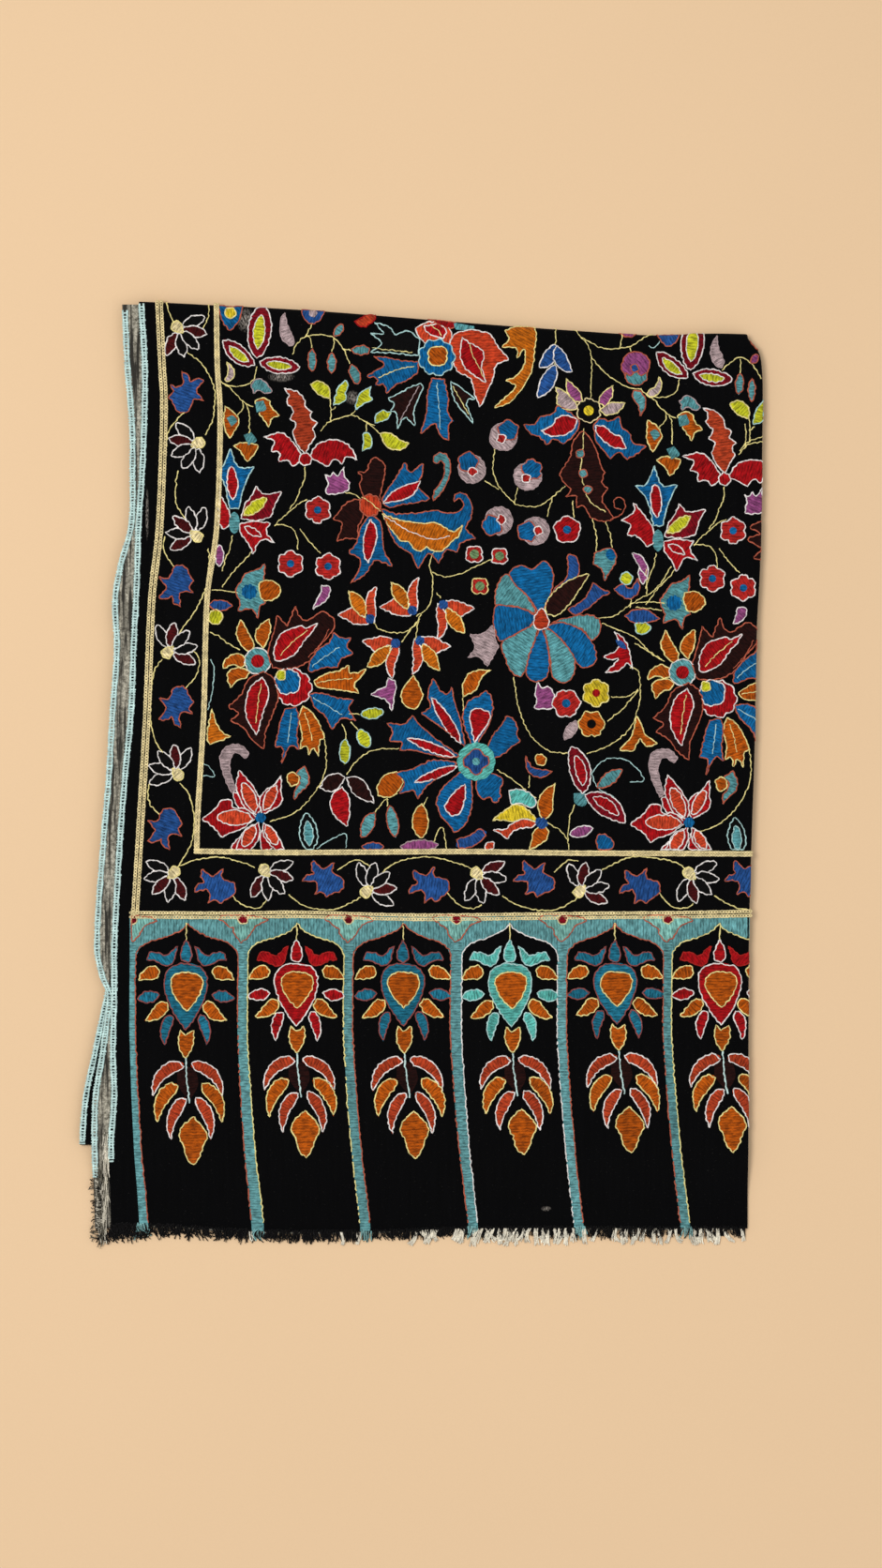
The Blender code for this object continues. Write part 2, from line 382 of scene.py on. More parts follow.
def path(x, v, longer=0.0, tucked=0.0):
    """Middle of the doubled cloth at a column: y, z and the way that its printed side faces.

    v runs 0 to 1 up the top third, to 2 round the top fold, to 3 down the middle third, and
    to 4 round the lower fold.
    """
    foot, top = hem(x), top_line(x) - tucked
    low = smooth(LOWER_FOLD, "x", "y", x) + REACH
    up = foot + (top - foot) * v - longer * np.maximum(0.0, 1 - v / HEM_SHARE)
    rise = slope_of_height(x, up)
    long = np.hypot(1, rise)
    over, under = math.pi * (v - 1), math.pi * (v - 3)
    stretch = [v <= 1, v <= 2, v <= 3]
    ways = [up, top + TURN * np.sin(over), top + (low - top) * (v - 2)]
    y = np.select(stretch, ways, low - TURN * np.sin(under))
    crown = (TOP_THIRD + MIDDLE_THIRD) / 2 + TURN * np.cos(over)
    heel = (MIDDLE_THIRD + BOTTOM_THIRD) / 2 + TURN * np.cos(under)
    z = np.select(stretch, [top_third_height(x, up), crown, MIDDLE_THIRD + 0 * v], heel)
    facing_y = np.select(stretch, [-rise / long, np.sin(over), 0 * v], np.sin(under))
    facing_z = np.select(stretch, [1 / long, np.cos(over), 0 * v - 1], -np.cos(under))
    return y, z, facing_y, facing_z


def across(u, y, layer, inset):
    """Place across the doubled cloth: x, and how far the outer face stands from the middle."""
    fold = right_fold(y) - inset - HALF
    left = selvedge(layer, y)
    turn = math.pi * (u - 1)
    stretch = [u <= 1, u <= 2]
    ways = [left + (fold - left) * u, fold + HALF * np.sin(turn)]
    x = np.select(stretch, ways, fold + (left - fold) * (u - 2))
    return x, np.select(stretch, [HALF + 0 * u, HALF * np.cos(turn)], -HALF)


def place(u, v, layer):
    """Points of the outer face of the doubled cloth under the top panel."""
    inset = RIGHT_STEP if layer == "third" else 0.0
    slack = (SECOND_LONGER, SECOND_TUCKED) if layer == "second" else (0.0, 0.0)
    x = np.zeros_like(u)
    for _ in range(4):
        y = path(x, v, *slack)[0]
        x, out = across(u, y, layer, inset)
    y, z, facing_y, facing_z = path(x, v, *slack)
    return np.stack([x, y + facing_y * out, z + facing_z * out], -1)


def faded(u, v, fades):
    """Share of a rise at shares of the panel's width and length, 0 along its edges."""
    return math.prod(ease(share / fade) for share, fade in zip((u, 1 - u, v, 1 - v), fades))


def relief(x, y):
    """How far the top panel rises above its layer: swells, main creases and a slight ripple."""
    left, fold = selvedge("top", y), right_fold(y) - HALF
    u = np.clip((x - left) / (fold - left), 0, 1)
    v = np.clip((y - hem(x)) / (top_line(x) - hem(x)), 0, 1)
    broad, near = faded(u, v, BROAD_FADES), faded(u, v, NEAR_FADES)
    high = np.zeros_like(x)
    for sx, sy, half_long, half_wide, rise in zip(*SWELLS.values()):
        high += rise * np.exp(-SWELL_FADE * (((x - sx) / half_long) ** 2 + ((y - sy) / half_wide) ** 2))
    fine = np.zeros_like(x)
    for ax, ay, bx, by, half_wide, rise in zip(*CREASES.values()):
        long = math.hypot(bx - ax, by - ay)
        along = ((x - ax) * (bx - ax) + (y - ay) * (by - ay)) / long
        aside = ((x - ax) * (by - ay) - (y - ay) * (bx - ax)) / long
        sway = np.sin(along / long * CREASE_SWAY["turns"] + ax * CREASE_SWAY["shift"])
        aside += CREASE_SWAY["aside"] * half_wide * sway
        ends = ease(along / long * CREASE_ENDS[0]) * ease((1 - along / long) * CREASE_ENDS[1])
        fine += rise * ends * np.exp(-((aside / half_wide) ** 2))
    for length, rise, turn in zip(RIPPLE["length"], RIPPLE["rise"], RIPPLE_TURNS):
        wave = (x * math.cos(turn) + y * math.sin(turn)) * 2 * math.pi / length
        slow = np.sin(y * 2 * math.pi / (length * RIPPLE_SWAY["long"]) + turn)
        fine += rise * np.sin(wave + RIPPLE_SWAY["bend"] * slow)
    return high * broad + fine * near


def on_face(x, y, lift=0.0):
    """Points of the top panel's printed side at flat places on the cloth, raised by lift.

    A place past the right fold or the top fold goes round it and on behind.
    """
    x, y = np.broadcast_arrays(np.asarray(x, float), np.asarray(y, float))
    fold = right_fold(np.minimum(y, top_line(np.minimum(x, right_fold(y))))) - HALF
    past = np.maximum(x - fold, 0)
    turn = np.minimum(past / HALF, math.pi)
    out = (HALF + lift) * np.cos(turn)
    plan_x = np.minimum(x, fold) + (HALF + lift) * np.sin(turn) - np.maximum(past - math.pi * HALF, 0)
    top = top_line(plan_x)
    over = np.maximum(y - top, 0)
    spin = np.minimum(over / REACH, math.pi)
    flat = over <= 0
    base = np.minimum(y, top)
    rise = slope_of_height(plan_x, base)
    long = np.hypot(1, rise)
    facing_y = np.where(flat, -rise / long, np.sin(spin))
    facing_z = np.where(flat, 1 / long, np.cos(spin))
    crown = (TOP_THIRD + MIDDLE_THIRD) / 2 + TURN * np.cos(spin)
    middle_y = base + TURN * np.sin(spin) - np.maximum(over - math.pi * REACH, 0)
    middle_z = np.where(flat, top_third_height(plan_x, base), crown)
    level = np.where(flat & (past <= 0), relief(x, y), 0.0)
    return np.stack([plan_x, middle_y + facing_y * out, middle_z + facing_z * out + level], -1)


def flat_x(px):
    """Place across the cloth of a pixel."""
    return (np.asarray(px, float) - MIDDLE_PX["x"]) * PIXEL


def flat_y(py):
    """Place up the cloth of a pixel."""
    return (MIDDLE_PX["y"] - np.asarray(py, float)) * PIXEL


def placed(px, py):
    """Flat places of pixels."""
    return np.stack([flat_x(px), flat_y(py)], -1)


# Meshes


def put_in_scene(name, data):
    """A new object of the data, linked to the scene."""
    obj = bpy.data.objects.new(name, data)
    bpy.context.scene.collection.objects.link(obj)
    return obj


def new_mesh(name, points, faces):
    """An object of points and faces, smoothly shaded."""
    mesh = bpy.data.meshes.new(name)
    mesh.from_pydata(np.asarray(points, float).reshape(-1, 3).tolist(), [], faces)
    mesh.validate()
    mesh.shade_smooth()
    return put_in_scene(name, mesh)


def grid_faces(rows, columns):
    """Corner numbers of the quads of a grid of points."""
    r, c = np.meshgrid(np.arange(rows - 1), np.arange(columns - 1), indexing="ij")
    first = (r * columns + c).reshape(-1)
    return first[:, None] + np.array([0, 1, columns + 1, columns])


def give_uv(obj, places, name="Cloth"):
    """A UV map that holds a flat place for each point, in metres."""
    mesh = obj.data
    corners = np.empty(len(mesh.loops), np.int32)
    mesh.loops.foreach_get("vertex_index", corners)
    uvs = np.asarray(places, np.float32).reshape(-1, 2)[corners]
    mesh.uv_layers.new(name=name).data.foreach_set("uv", uvs.reshape(-1))


def give_points(mesh, name, kind, values):
    """An attribute that holds a value or a colour for each point."""
    field = "color" if kind == "FLOAT_COLOR" else "value"
    layer = mesh.attributes.new(name, kind, "POINT")
    layer.data.foreach_set(field, np.concatenate(values).astype(np.float32).reshape(-1))


def stations(*stretches):
    """Stations along a patch: each stretch is a start, an end and a number of faces."""
    line = [stretches[0][0]]
    for start, end, faces in stretches:
        line += [start + (end - start) * (i + 1) / faces for i in range(faces)]
    return np.array(line)


def finish_piece(obj, nodes=()):
    """Parents the piece to the shawl's body and hides the imported parts that it stands for."""
    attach(obj, BODY)
    if nodes:
        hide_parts(*nodes)
    return obj


# Nodes


def feed(tree, socket, value):
    """Links a socket to another one, or sets it to a value."""
    if isinstance(value, bpy.types.NodeSocket):
        tree.links.new(value, socket)
    else:
        socket.default_value = value


def add_node(tree, kind, inputs=None, **settings):
    """A node with its settings, each input set to a value or linked to a socket."""
    node = tree.nodes.new(kind)
    for name, value in settings.items():
        setattr(node, name, value)
    for name, value in (inputs or {}).items():
        feed(tree, node.inputs[name], value)
    return node


def new_tree(name, kind, given, put):
    """An empty tree with its inputs and outputs, which given and put list as Name:Type."""
    tree = bpy.data.node_groups.new(name, kind)
    for way, labels in (("INPUT", given), ("OUTPUT", put)):
        for label in labels.split():
            title, socket = label.split(":")
            tree.interface.new_socket(title, in_out=way, socket_type="NodeSocket" + socket)
    return tree, tree.nodes.new("NodeGroupInput").outputs, tree.nodes.new("NodeGroupOutput").inputs


def shared(name, make):
    """The tree of a name, made where it is first used."""
    return bpy.data.node_groups.get(name) or make(name)


def maths(tree, operation, *values):
    """Result of an operation on sockets and numbers."""
    return add_node(tree, "ShaderNodeMath", dict(enumerate(values)), operation=operation).outputs[0]


def total(tree, *terms):
    """Sum of sockets, each times its factor."""
    parts = [maths(tree, "MULTIPLY", socket, factor) for socket, factor in terms]
    result = parts[0]
    for part in parts[1:]:
        result = maths(tree, "ADD", result, part)
    return result


def remap(tree, value, low, high, to_low=0.0, to_high=1.0):
    """A value of one range taken to another one and held inside it."""
    inputs = {"Value": value, "From Min": low, "From Max": high, "To Min": to_low, "To Max": to_high}
    return add_node(tree, "ShaderNodeMapRange", inputs).outputs[0]


def noise(tree, place, scale, detail, rough=0.5):
    """Value of a noise at a place."""
    inputs = {"Vector": place, "Scale": scale, "Detail": detail, "Roughness": rough}
    return add_node(tree, "ShaderNodeTexNoise", inputs).outputs["Fac"]


def drawn(tree, place, along, turn=0.0):
    """A place turned and scaled along Y, for grain that runs one way."""
    inputs = {"Vector": place, "Scale": (1.0, along, 1.0), "Rotation": (0, 0, turn)}
    return add_node(tree, "ShaderNodeMapping", inputs).outputs[0]


# Materials

PI, FULL_TURN = 3.14159, 6.28318


def twill_group(name):
    """Fine twill: slanting ridges broken by the threads across them, with lint and wear."""
    outputs = "Height:Float Lint:Float Tone:Float Streak:Float"
    group, given, put = new_tree(name, "ShaderNodeTree", "Vector:Vector Threads:Float Seed:Float", outputs)
    place = given["Vector"]
    axes = add_node(group, "ShaderNodeSeparateXYZ", {"Vector": place}).outputs
    x, y = (maths(group, "MULTIPLY", axes[axis], given["Threads"]) for axis in "XY")
    wobble = noise(group, place, 260.0, 2.0)
    slant = total(group, (maths(group, "ADD", x, y), PI), (wobble, 5.0))
    ridge = maths(group, "SINE", slant)
    weft = maths(group, "SINE", maths(group, "MULTIPLY", y, FULL_TURN))
    fuzz = noise(group, place, 900.0, 5.0, 0.7)
    feed(group, put["Height"], total(group, (ridge, 0.35), (weft, 0.15), (fuzz, 0.9)))
    lint = noise(group, drawn(group, place, 3.2, 0.5), 420.0, 3.0, 0.55)
    feed(group, put["Lint"], remap(group, lint, 0.66, 0.8))
    wear = {"Vector": place, "Scale": 14.0, "Detail": 6.0, "Roughness": 0.6, "W": given["Seed"]}
    tone = add_node(group, "ShaderNodeTexNoise", wear, noise_dimensions="4D")
    feed(group, put["Tone"], tone.outputs["Fac"])
    feed(group, put["Streak"], noise(group, drawn(group, place, 0.06), 330.0, 3.0))
    return group


# Pale patches on the black wool, in the photograph's pixels: middle and half widths. They are partly nap
# rubbed pale and partly painted sheen highlights, and the two long thin streaks at the left margin are
# painted highlights along a soft fold.
SHEEN_AND_WEAR = rows_of("px py wide high", """
262 341 9 12
300 402 13 5
290 388 7 5
376 424 7 7
157 548 1.6 26
150 470 1.4 22
583 1290 5 2.5
""")


def sheen_and_wear_group(name):
    """A soft patch broken by fine slanting hatches, 1 at its middle and 0 outside: the mask of a pale patch,
    partly wear and partly painted sheen highlight.
    """
    inputs = "Vector:Vector Middle:Vector Half:Vector"
    group, given, put = new_tree(name, "ShaderNodeTree", inputs, "Mask:Float")
    place = given["Vector"]
    away = add_node(group, "ShaderNodeVectorMath", {0: place, 1: given["Middle"]}, operation="SUBTRACT")
    share = {0: away.outputs[0], 1: given["Half"]}
    part = add_node(group, "ShaderNodeVectorMath", share, operation="DIVIDE")
    far = add_node(group, "ShaderNodeVectorMath", {0: part.outputs[0]}, operation="LENGTH")
    soft = remap(group, far.outputs["Value"], 1.15, 0.3)
    hatch = remap(group, noise(group, drawn(group, place, 0.3, 0.6), 1400.0, 2.0), 0.42, 0.62)
    feed(group, put["Mask"], maths(group, "MULTIPLY", soft, hatch))
    return group


def stitch_group(name):
    """Stitched thread: close uneven ridges along the stitches, with lighter and darker strands, and painted
    light and shade across its ridges and rows.
    """
    outputs = "Height:Float Shade:Float"
    group, given, put = new_tree(name, "ShaderNodeTree", "Vector:Vector Strands:Float", outputs)
    place = given["Vector"]
    axes = add_node(group, "ShaderNodeSeparateXYZ", {"Vector": place}).outputs
    bend = maths(group, "MULTIPLY", noise(group, place, 240.0, 2.0), 9.0)
    turns = maths(group, "MULTIPLY", axes["X"], given["Strands"])
    ridge = maths(group, "SINE", total(group, (turns, FULL_TURN), (bend, 1.0)))
    strand = noise(group, drawn(group, place, 0.16), 1500.0, 3.0, 0.6)
    feed(group, put["Height"], total(group, (ridge, 0.5), (strand, 1.2)))
    patch = noise(group, drawn(group, place, 0.4), 430.0, 2.5)
    # The ridge and row terms are painted shade in the grooves between rows of stitches and painted light on
    # their crests; strand and patch are uneven dye.
    row = maths(group, "SINE", total(group, (turns, 3.0), (bend, 0.5)))
    feed(group, put["Shade"], total(group, (strand, 0.6), (patch, 0.9), (ridge, 0.07), (row, 0.08)))
    return group


def use_group(tree, name, make, **values):
    """Outputs of a shader group in a tree, with its inputs set by name."""
    return add_node(tree, "ShaderNodeGroup", values, node_tree=shared(name, make)).outputs


def new_material(name, rough, sheen, tint=(1, 1, 1)):
    """A new soft material, its tree and its shader."""
    material = bpy.data.materials.new(name)
    material.use_nodes = True
    tree = material.node_tree
    shader = tree.nodes["Principled BSDF"]
    looks = {"Roughness": rough, "Specular IOR Level": 0.06, "Sheen Weight": sheen, "Sheen Roughness": 0.5}
    for label, value in {**looks, "Sheen Tint": (*tint, 1)}.items():
        shader.inputs[label].default_value = value
    return material, tree, shader


def opaque(colour):
    """A screen colour as a shader's colour."""
    return (*linear(colour), 1)


def mix_colour(tree, share, first, second):
    """A colour between two others."""
    inputs = {0: share, 6: first, 7: second}
    return add_node(tree, "ShaderNodeMix", inputs, data_type="RGBA").outputs[2]


def colour_by(tree, shader, colour, value):
    """Gives the shader a colour, made lighter or darker by a value about 1."""
    toned = add_node(tree, "ShaderNodeHueSaturation", {"Color": colour, "Value": value})
    tree.links.new(toned.outputs[0], shader.inputs["Base Color"])


def raise_bump(tree, shader, height, strength, distance):
    """Gives the shader a bump of a height."""
    inputs = {"Height": height, "Strength": strength, "Distance": distance}
    tree.links.new(add_node(tree, "ShaderNodeBump", inputs).outputs[0], shader.inputs["Normal"])


def wool_material():
    """Black wool twill with lint, faint brown and blue patches, streaks along the warp, and pale patches
    that are partly wear and partly painted sheen highlights.
    """
    material, tree, shader = new_material("Black wool", 0.95, 0.02, (0.8, 0.85, 1.0))
    place = add_node(tree, "ShaderNodeUVMap", uv_map="Cloth").outputs["UV"]
    cloth = use_group(tree, "Wool twill", twill_group, Vector=place, Threads=1100.0, Seed=2.0)
    dark, light = opaque(WOOL["ground"]), opaque([c * 1.25 + 2 for c in WOOL["ground"]])
    ground = mix_colour(tree, maths(tree, "MULTIPLY", cloth["Tone"], 0.9), dark, light)
    worn = maths(tree, "MULTIPLY", maths(tree, "MULTIPLY", cloth["Lint"], cloth["Tone"]), WOOL["lint_share"])
    # Pale patches over the wool's colour: painted sheen highlights and painted light streaks along a fold,
    # with some wear.
    patches = 0.0
    for spot in SHEEN_AND_WEAR:
        middle = (flat_x(spot["px"]), flat_y(spot["py"]), 0)
        half = (spot["wide"] * PIXEL, spot["high"] * PIXEL, 1)
        pale = use_group(tree, "Worn patch", sheen_and_wear_group, Vector=place, Middle=middle, Half=half)
        patches = maths(tree, "ADD", patches, pale["Mask"])
    linted = mix_colour(tree, worn, ground, opaque(WOOL["lint"]))
    sheened_and_worn = mix_colour(tree, patches, linted, opaque(WOOL["worn"]))
    colour_by(tree, shader, sheened_and_worn, maths(tree, "MULTIPLY_ADD", cloth["Streak"], 0.8, 0.6))
    raise_bump(tree, shader, cloth["Height"], 0.55, 0.0006)
    return material


def wrong_side_material():
    """The wrong side of the embroidered edge: grey, mottled with pale thread ends, and darkened in
    lengthwise streaks by painted shade of its wrinkles.
    """
    material, tree, shader = new_material("Wrong side", 0.95, 0.1)
    place = add_node(tree, "ShaderNodeUVMap", uv_map="Cloth").outputs["UV"]
    cloth = use_group(tree, "Wool twill", twill_group, Vector=place, Threads=800.0, Seed=7.0)
    blotch = noise(tree, place, 330.0, 4.0, 0.7)
    # Dark lengthwise streaks: painted shade of the wrinkles.
    mottle, wrinkle_shade = remap(tree, blotch, 0.36, 0.64), remap(tree, cloth["Streak"], 0.42, 0.56)
    ends = mix_colour(tree, mottle, opaque(WRONG_SIDE["ground"]), opaque(WRONG_SIDE["ends"]))
    streaked = mix_colour(tree, wrinkle_shade, opaque(WRONG_SIDE["gap"]), ends)
    tree.links.new(streaked, shader.inputs["Base Color"])
    raise_bump(tree, shader, maths(tree, "ADD", cloth["Height"], blotch), 0.8, 0.0007)
    return material


def dyed(tree):
    """The dye that a piece carries as an attribute."""
    settings = {"attribute_name": "dye", "attribute_type": "GEOMETRY"}
    return add_node(tree, "ShaderNodeAttribute", **settings).outputs["Color"]


def stitched_material(name):
    """Stitched embroidery thread, with its dye as an attribute."""
    material, tree, shader = new_material(name, 0.85, 0.05)
    place = add_node(tree, "ShaderNodeUVMap", uv_map="Stitch").outputs["UV"]
    work = use_group(tree, "Stitched thread", stitch_group, Vector=place, Strands=950.0)
    colour_by(tree, shader, dyed(tree), remap(tree, work["Shade"], 0.55, 0.95, 0.42, 1.5))
    raise_bump(tree, shader, work["Height"], 0.7, 0.0009)
    return material


def laid_material(name, rough=0.75):
    """Spun thread of an outline, cord or fringe, with its dye as an attribute."""
    material, tree, shader = new_material(name, rough, 0.04)
    place = add_node(tree, "ShaderNodeTexCoord").outputs["Object"]
    fibre = noise(tree, place, 1300.0, 3.0, 0.65)
    tone = total(tree, (fibre, 0.8), (noise(tree, place, 210.0, 2.0), 0.5))
    colour_by(tree, shader, dyed(tree), remap(tree, tone, 0.45, 0.85, 0.5, 1.4))
    raise_bump(tree, shader, fibre, 0.8, 0.0004)
    return material


def stitched():
    """The material of every filling."""
    return bpy.data.materials.get("Stitched wool") or stitched_material("Stitched wool")


def laid():
    """The material of every outline, edge stitch and loose thread."""
    return bpy.data.materials.get("Laid thread") or laid_material("Laid thread")


# Threads, by Geometry Nodes


def resampled(tree, given, spacing):
    """Evenly spaced points along the lines that a tree is given."""
    curves = add_node(tree, "GeometryNodeMeshToCurve", {"Mesh": given["Geometry"]})
    inputs = {"Curve": curves.outputs[0], "Length": given[spacing]}
    return add_node(tree, "GeometryNodeResampleCurve", inputs, mode="LENGTH").outputs[0]


def circle(tree, points, radius):
    """A circle of a few points, as the section of a thread or as a link."""
    inputs = {"Resolution": points, "Radius": radius}
    return add_node(tree, "GeometryNodeCurvePrimitiveCircle", inputs, mode="RADIUS").outputs[0]


def random_factor(tree, low, high, seed):
    """A random factor for each point, between low and high."""
    node = add_node(tree, "FunctionNodeRandomValue", data_type="FLOAT")
    ends = [s for s in node.inputs if s.type == "VALUE" and s.name in ("Min", "Max")]
    feed(tree, ends[0], low)
    feed(tree, ends[1], high)
    feed(tree, next(s for s in node.inputs if s.name == "Seed"), seed)
    return next(s for s in node.outputs if s.type == "VALUE" and s.enabled)


def finish_tree(tree, given, put, geometry):
    """Ends a tree: its geometry smooth, real and with its material."""
    soft = add_node(tree, "GeometryNodeSetShadeSmooth", {"Geometry": geometry})
    real = add_node(tree, "GeometryNodeRealizeInstances", {"Geometry": soft.outputs[0]})
    inputs = {"Geometry": real.outputs[0], "Material": given["Material"]}
    feed(tree, put["Geometry"], add_node(tree, "GeometryNodeSetMaterial", inputs).outputs[0])
    return tree


def thread_tree(name):
    """Turns lines of points into knotty threads."""
    inputs = "Geometry:Geometry Radius:Float Stitch:Float Uneven:Float Sides:Int Seed:Int Material:Material"
    tree, given, put = new_tree(name, "GeometryNodeTree", inputs, "Geometry:Geometry")
    low, high = (maths(tree, way, 1.0, given["Uneven"]) for way in ("SUBTRACT", "ADD"))
    varied = random_factor(tree, low, high, given["Seed"])
    gauge = add_node(tree, "GeometryNodeInputNamedAttribute", {"Name": "gauge"}, data_type="FLOAT")
    radius = maths(tree, "MULTIPLY", maths(tree, "MULTIPLY", gauge.outputs[0], given["Radius"]), varied)
    inputs = {"Curve": resampled(tree, given, "Stitch"), "Profile Curve": circle(tree, given["Sides"], 1.0)}
    inputs.update({"Scale": radius, "Fill Caps": True})
    tube = add_node(tree, "GeometryNodeCurveToMesh", inputs)
    return finish_tree(tree, given, put, tube.outputs[0])


def link_tree(name):
    """Sets a chain of flat oval links along lines of points."""
    inputs = "Geometry:Geometry Pitch:Float Long:Float Wide:Float Ply:Float Seed:Int Material:Material"
    tree, given, put = new_tree(name, "GeometryNodeTree", inputs, "Geometry:Geometry")
    size = add_node(tree, "ShaderNodeCombineXYZ", {"X": given["Long"], "Y": given["Wide"], "Z": 1.0})
    inputs = {"Geometry": circle(tree, 9, 0.5), "Scale": size.outputs[0]}
    oval = add_node(tree, "GeometryNodeTransform", inputs)
    inputs = {"Curve": oval.outputs[0], "Profile Curve": circle(tree, 4, given["Ply"])}
    ring = add_node(tree, "GeometryNodeCurveToMesh", inputs)
    ahead = tree.nodes.new("GeometryNodeInputTangent").outputs[0]
    aim = add_node(tree, "FunctionNodeAlignRotationToVector", {"Vector": ahead}, axis="X", pivot_axis="Z")
    varied = random_factor(tree, 0.86, 1.12, given["Seed"])
    wider = add_node(tree, "ShaderNodeCombineXYZ", {"X": 1.0, "Y": varied, "Z": 1.0})
    inputs = {"Points": resampled(tree, given, "Pitch"), "Instance": ring.outputs[0]}
    inputs.update({"Rotation": aim.outputs[0], "Scale": wider.outputs[0]})
    sewn = add_node(tree, "GeometryNodeInstanceOnPoints", inputs)
    return finish_tree(tree, given, put, sewn.outputs[0])


TREES = {"Laid thread": thread_tree, "Chain stitch": link_tree}


def made_by_nodes(source, tree, values, name):
    """The plain mesh that a tree makes of the source, with its inputs set by name."""
    modifier = source.modifiers.new("Make", "NODES")
    modifier.node_group = tree
    for item in tree.interface.items_tree:
        if item.in_out == "INPUT" and item.name in values:
            modifier[item.identifier] = values[item.name]
    graph = bpy.context.evaluated_depsgraph_get()
    mesh = bpy.data.meshes.new_from_object(source.evaluated_get(graph))
    mesh.name = name
    old = source.data
    bpy.data.objects.remove(source, do_unlink=True)
    bpy.data.meshes.remove(old)
    return put_in_scene(name, mesh)


def line_mesh(name, lines):
    """Lines as the edges of one mesh. Each is its points, whether it closes, a dye and a gauge."""
    points, edges, dyes, gauges = [], [], [], []
    start = 0
    for line, closed, dye, gauge in lines:
        count = len(line)
        points.append(line)
        ring = np.arange(count if closed else count - 1)
        edges.append(np.stack([ring, (ring + 1) % count], -1) + start)
        dyes.append(np.tile([*dye, 1.0], (count, 1)))
        gauges.append(np.broadcast_to(gauge, count))
        start += count
    mesh = bpy.data.meshes.new(name)
    mesh.vertices.add(start)
    mesh.vertices.foreach_set("co", np.concatenate(points).astype(np.float32).reshape(-1))
    pairs = np.concatenate(edges).astype(np.int32)
    mesh.edges.add(len(pairs))
    mesh.edges.foreach_set("vertices", pairs.reshape(-1))
    give_points(mesh, "dye", "FLOAT_COLOR", dyes)
    give_points(mesh, "gauge", "FLOAT", gauges)
    return put_in_scene(name, mesh)


def worked(name, lines, kind, **values):
    """One piece of thread or of chain stitch along every line, with its tree's inputs by name."""
    source = line_mesh(name + " lines", lines)
    return made_by_nodes(source, shared(kind, TREES[kind]), values, name)


# Embroidery


# How a petal's width runs from its base to its tip: s ** rise * (1 - s) ** fall
SHAPES = {
    "leaf": (0.8, 0.9),
    "lens": (0.7, 0.7),
    "bud": (0.45, 0.95),
    "drop": (0.95, 0.4),
    "blade": (0.35, 0.8),
    "round": (0.5, 0.5),
    "fan": (1.3, 0.35),
    "band": (0.12, 0.12),
}
PETAL_ROWS, PETAL_COLUMNS = 13, 5
CELL = 0.5 * MM
CHART = {"x": -0.262, "y": -0.372, "wide": 0.57, "high": 0.80}
SPREAD_CELLS, DOME_CELLS = 4, 5
FILL_LIFT, FILL_CLEAR, FILL_DOME = 0.12 * MM, 0.04 * MM, 0.3 * MM
LINE_LIFT, LINE_CLEAR, LINE_STEP = 0.28 * MM, 0.16 * MM, 1.2 * MM
FILL_STEP, FOLD_STEP = 2.6 * MM, 1.2 * MM
CORE_WIDE, CORE_START, CORE_END = 0.5, 0.16, 0.8
MINOR_GAUGE = 0.8
LINE_WANDER = 0.34 * MM
WAVE = {"long": 5.2 * MM, "rise": 0.42 * MM}
DYE_WANDER = 0.07
BROAD_PETAL = 15 * MM
CORE_SHIFT, CORE_BEND = 0.62, 0.9
HEART_WIDE = 0.4
ROW_SHARE, RIM_GAP = 0.87, 0.45
PETAL_ENDS = (0.004, 0.996)
TONES = (0.86, 1.14)
STEM_STEP, SHAPE_STEP = 1.6 * MM, 1.5 * MM
DISC_STEP, LEAST_DISC_PLACES = 1.4 * MM, 16


def within(rim, x, y):
    """Which places lie inside a closed line."""
    x, y = np.broadcast_arrays(x, y)
    result = np.zeros(x.shape, bool)
    for (ax, ay), (bx, by) in zip(rim, np.roll(rim, -1, axis=0)):
        if ay != by:
            result ^= ((ay > y) != (by > y)) & (x < ax + (y - ay) / (by - ay) * (bx - ax))
    return result


def spread(values, reach):
    """Each cell's highest neighbour within a reach."""
    wide = np.pad(values, reach, mode="edge")
    rows, columns = values.shape
    wide = np.maximum.reduce([wide[k : k + rows] for k in range(2 * reach + 1)])
    return np.maximum.reduce([wide[:, k : k + columns] for k in range(2 * reach + 1)])


def worn_in(mask):
    """The cells whose four neighbours are in the mask too."""
    wide = np.pad(mask, 1)
    return mask & wide[:-2, 1:-1] & wide[2:, 1:-1] & wide[1:-1, :-2] & wide[1:-1, 2:]


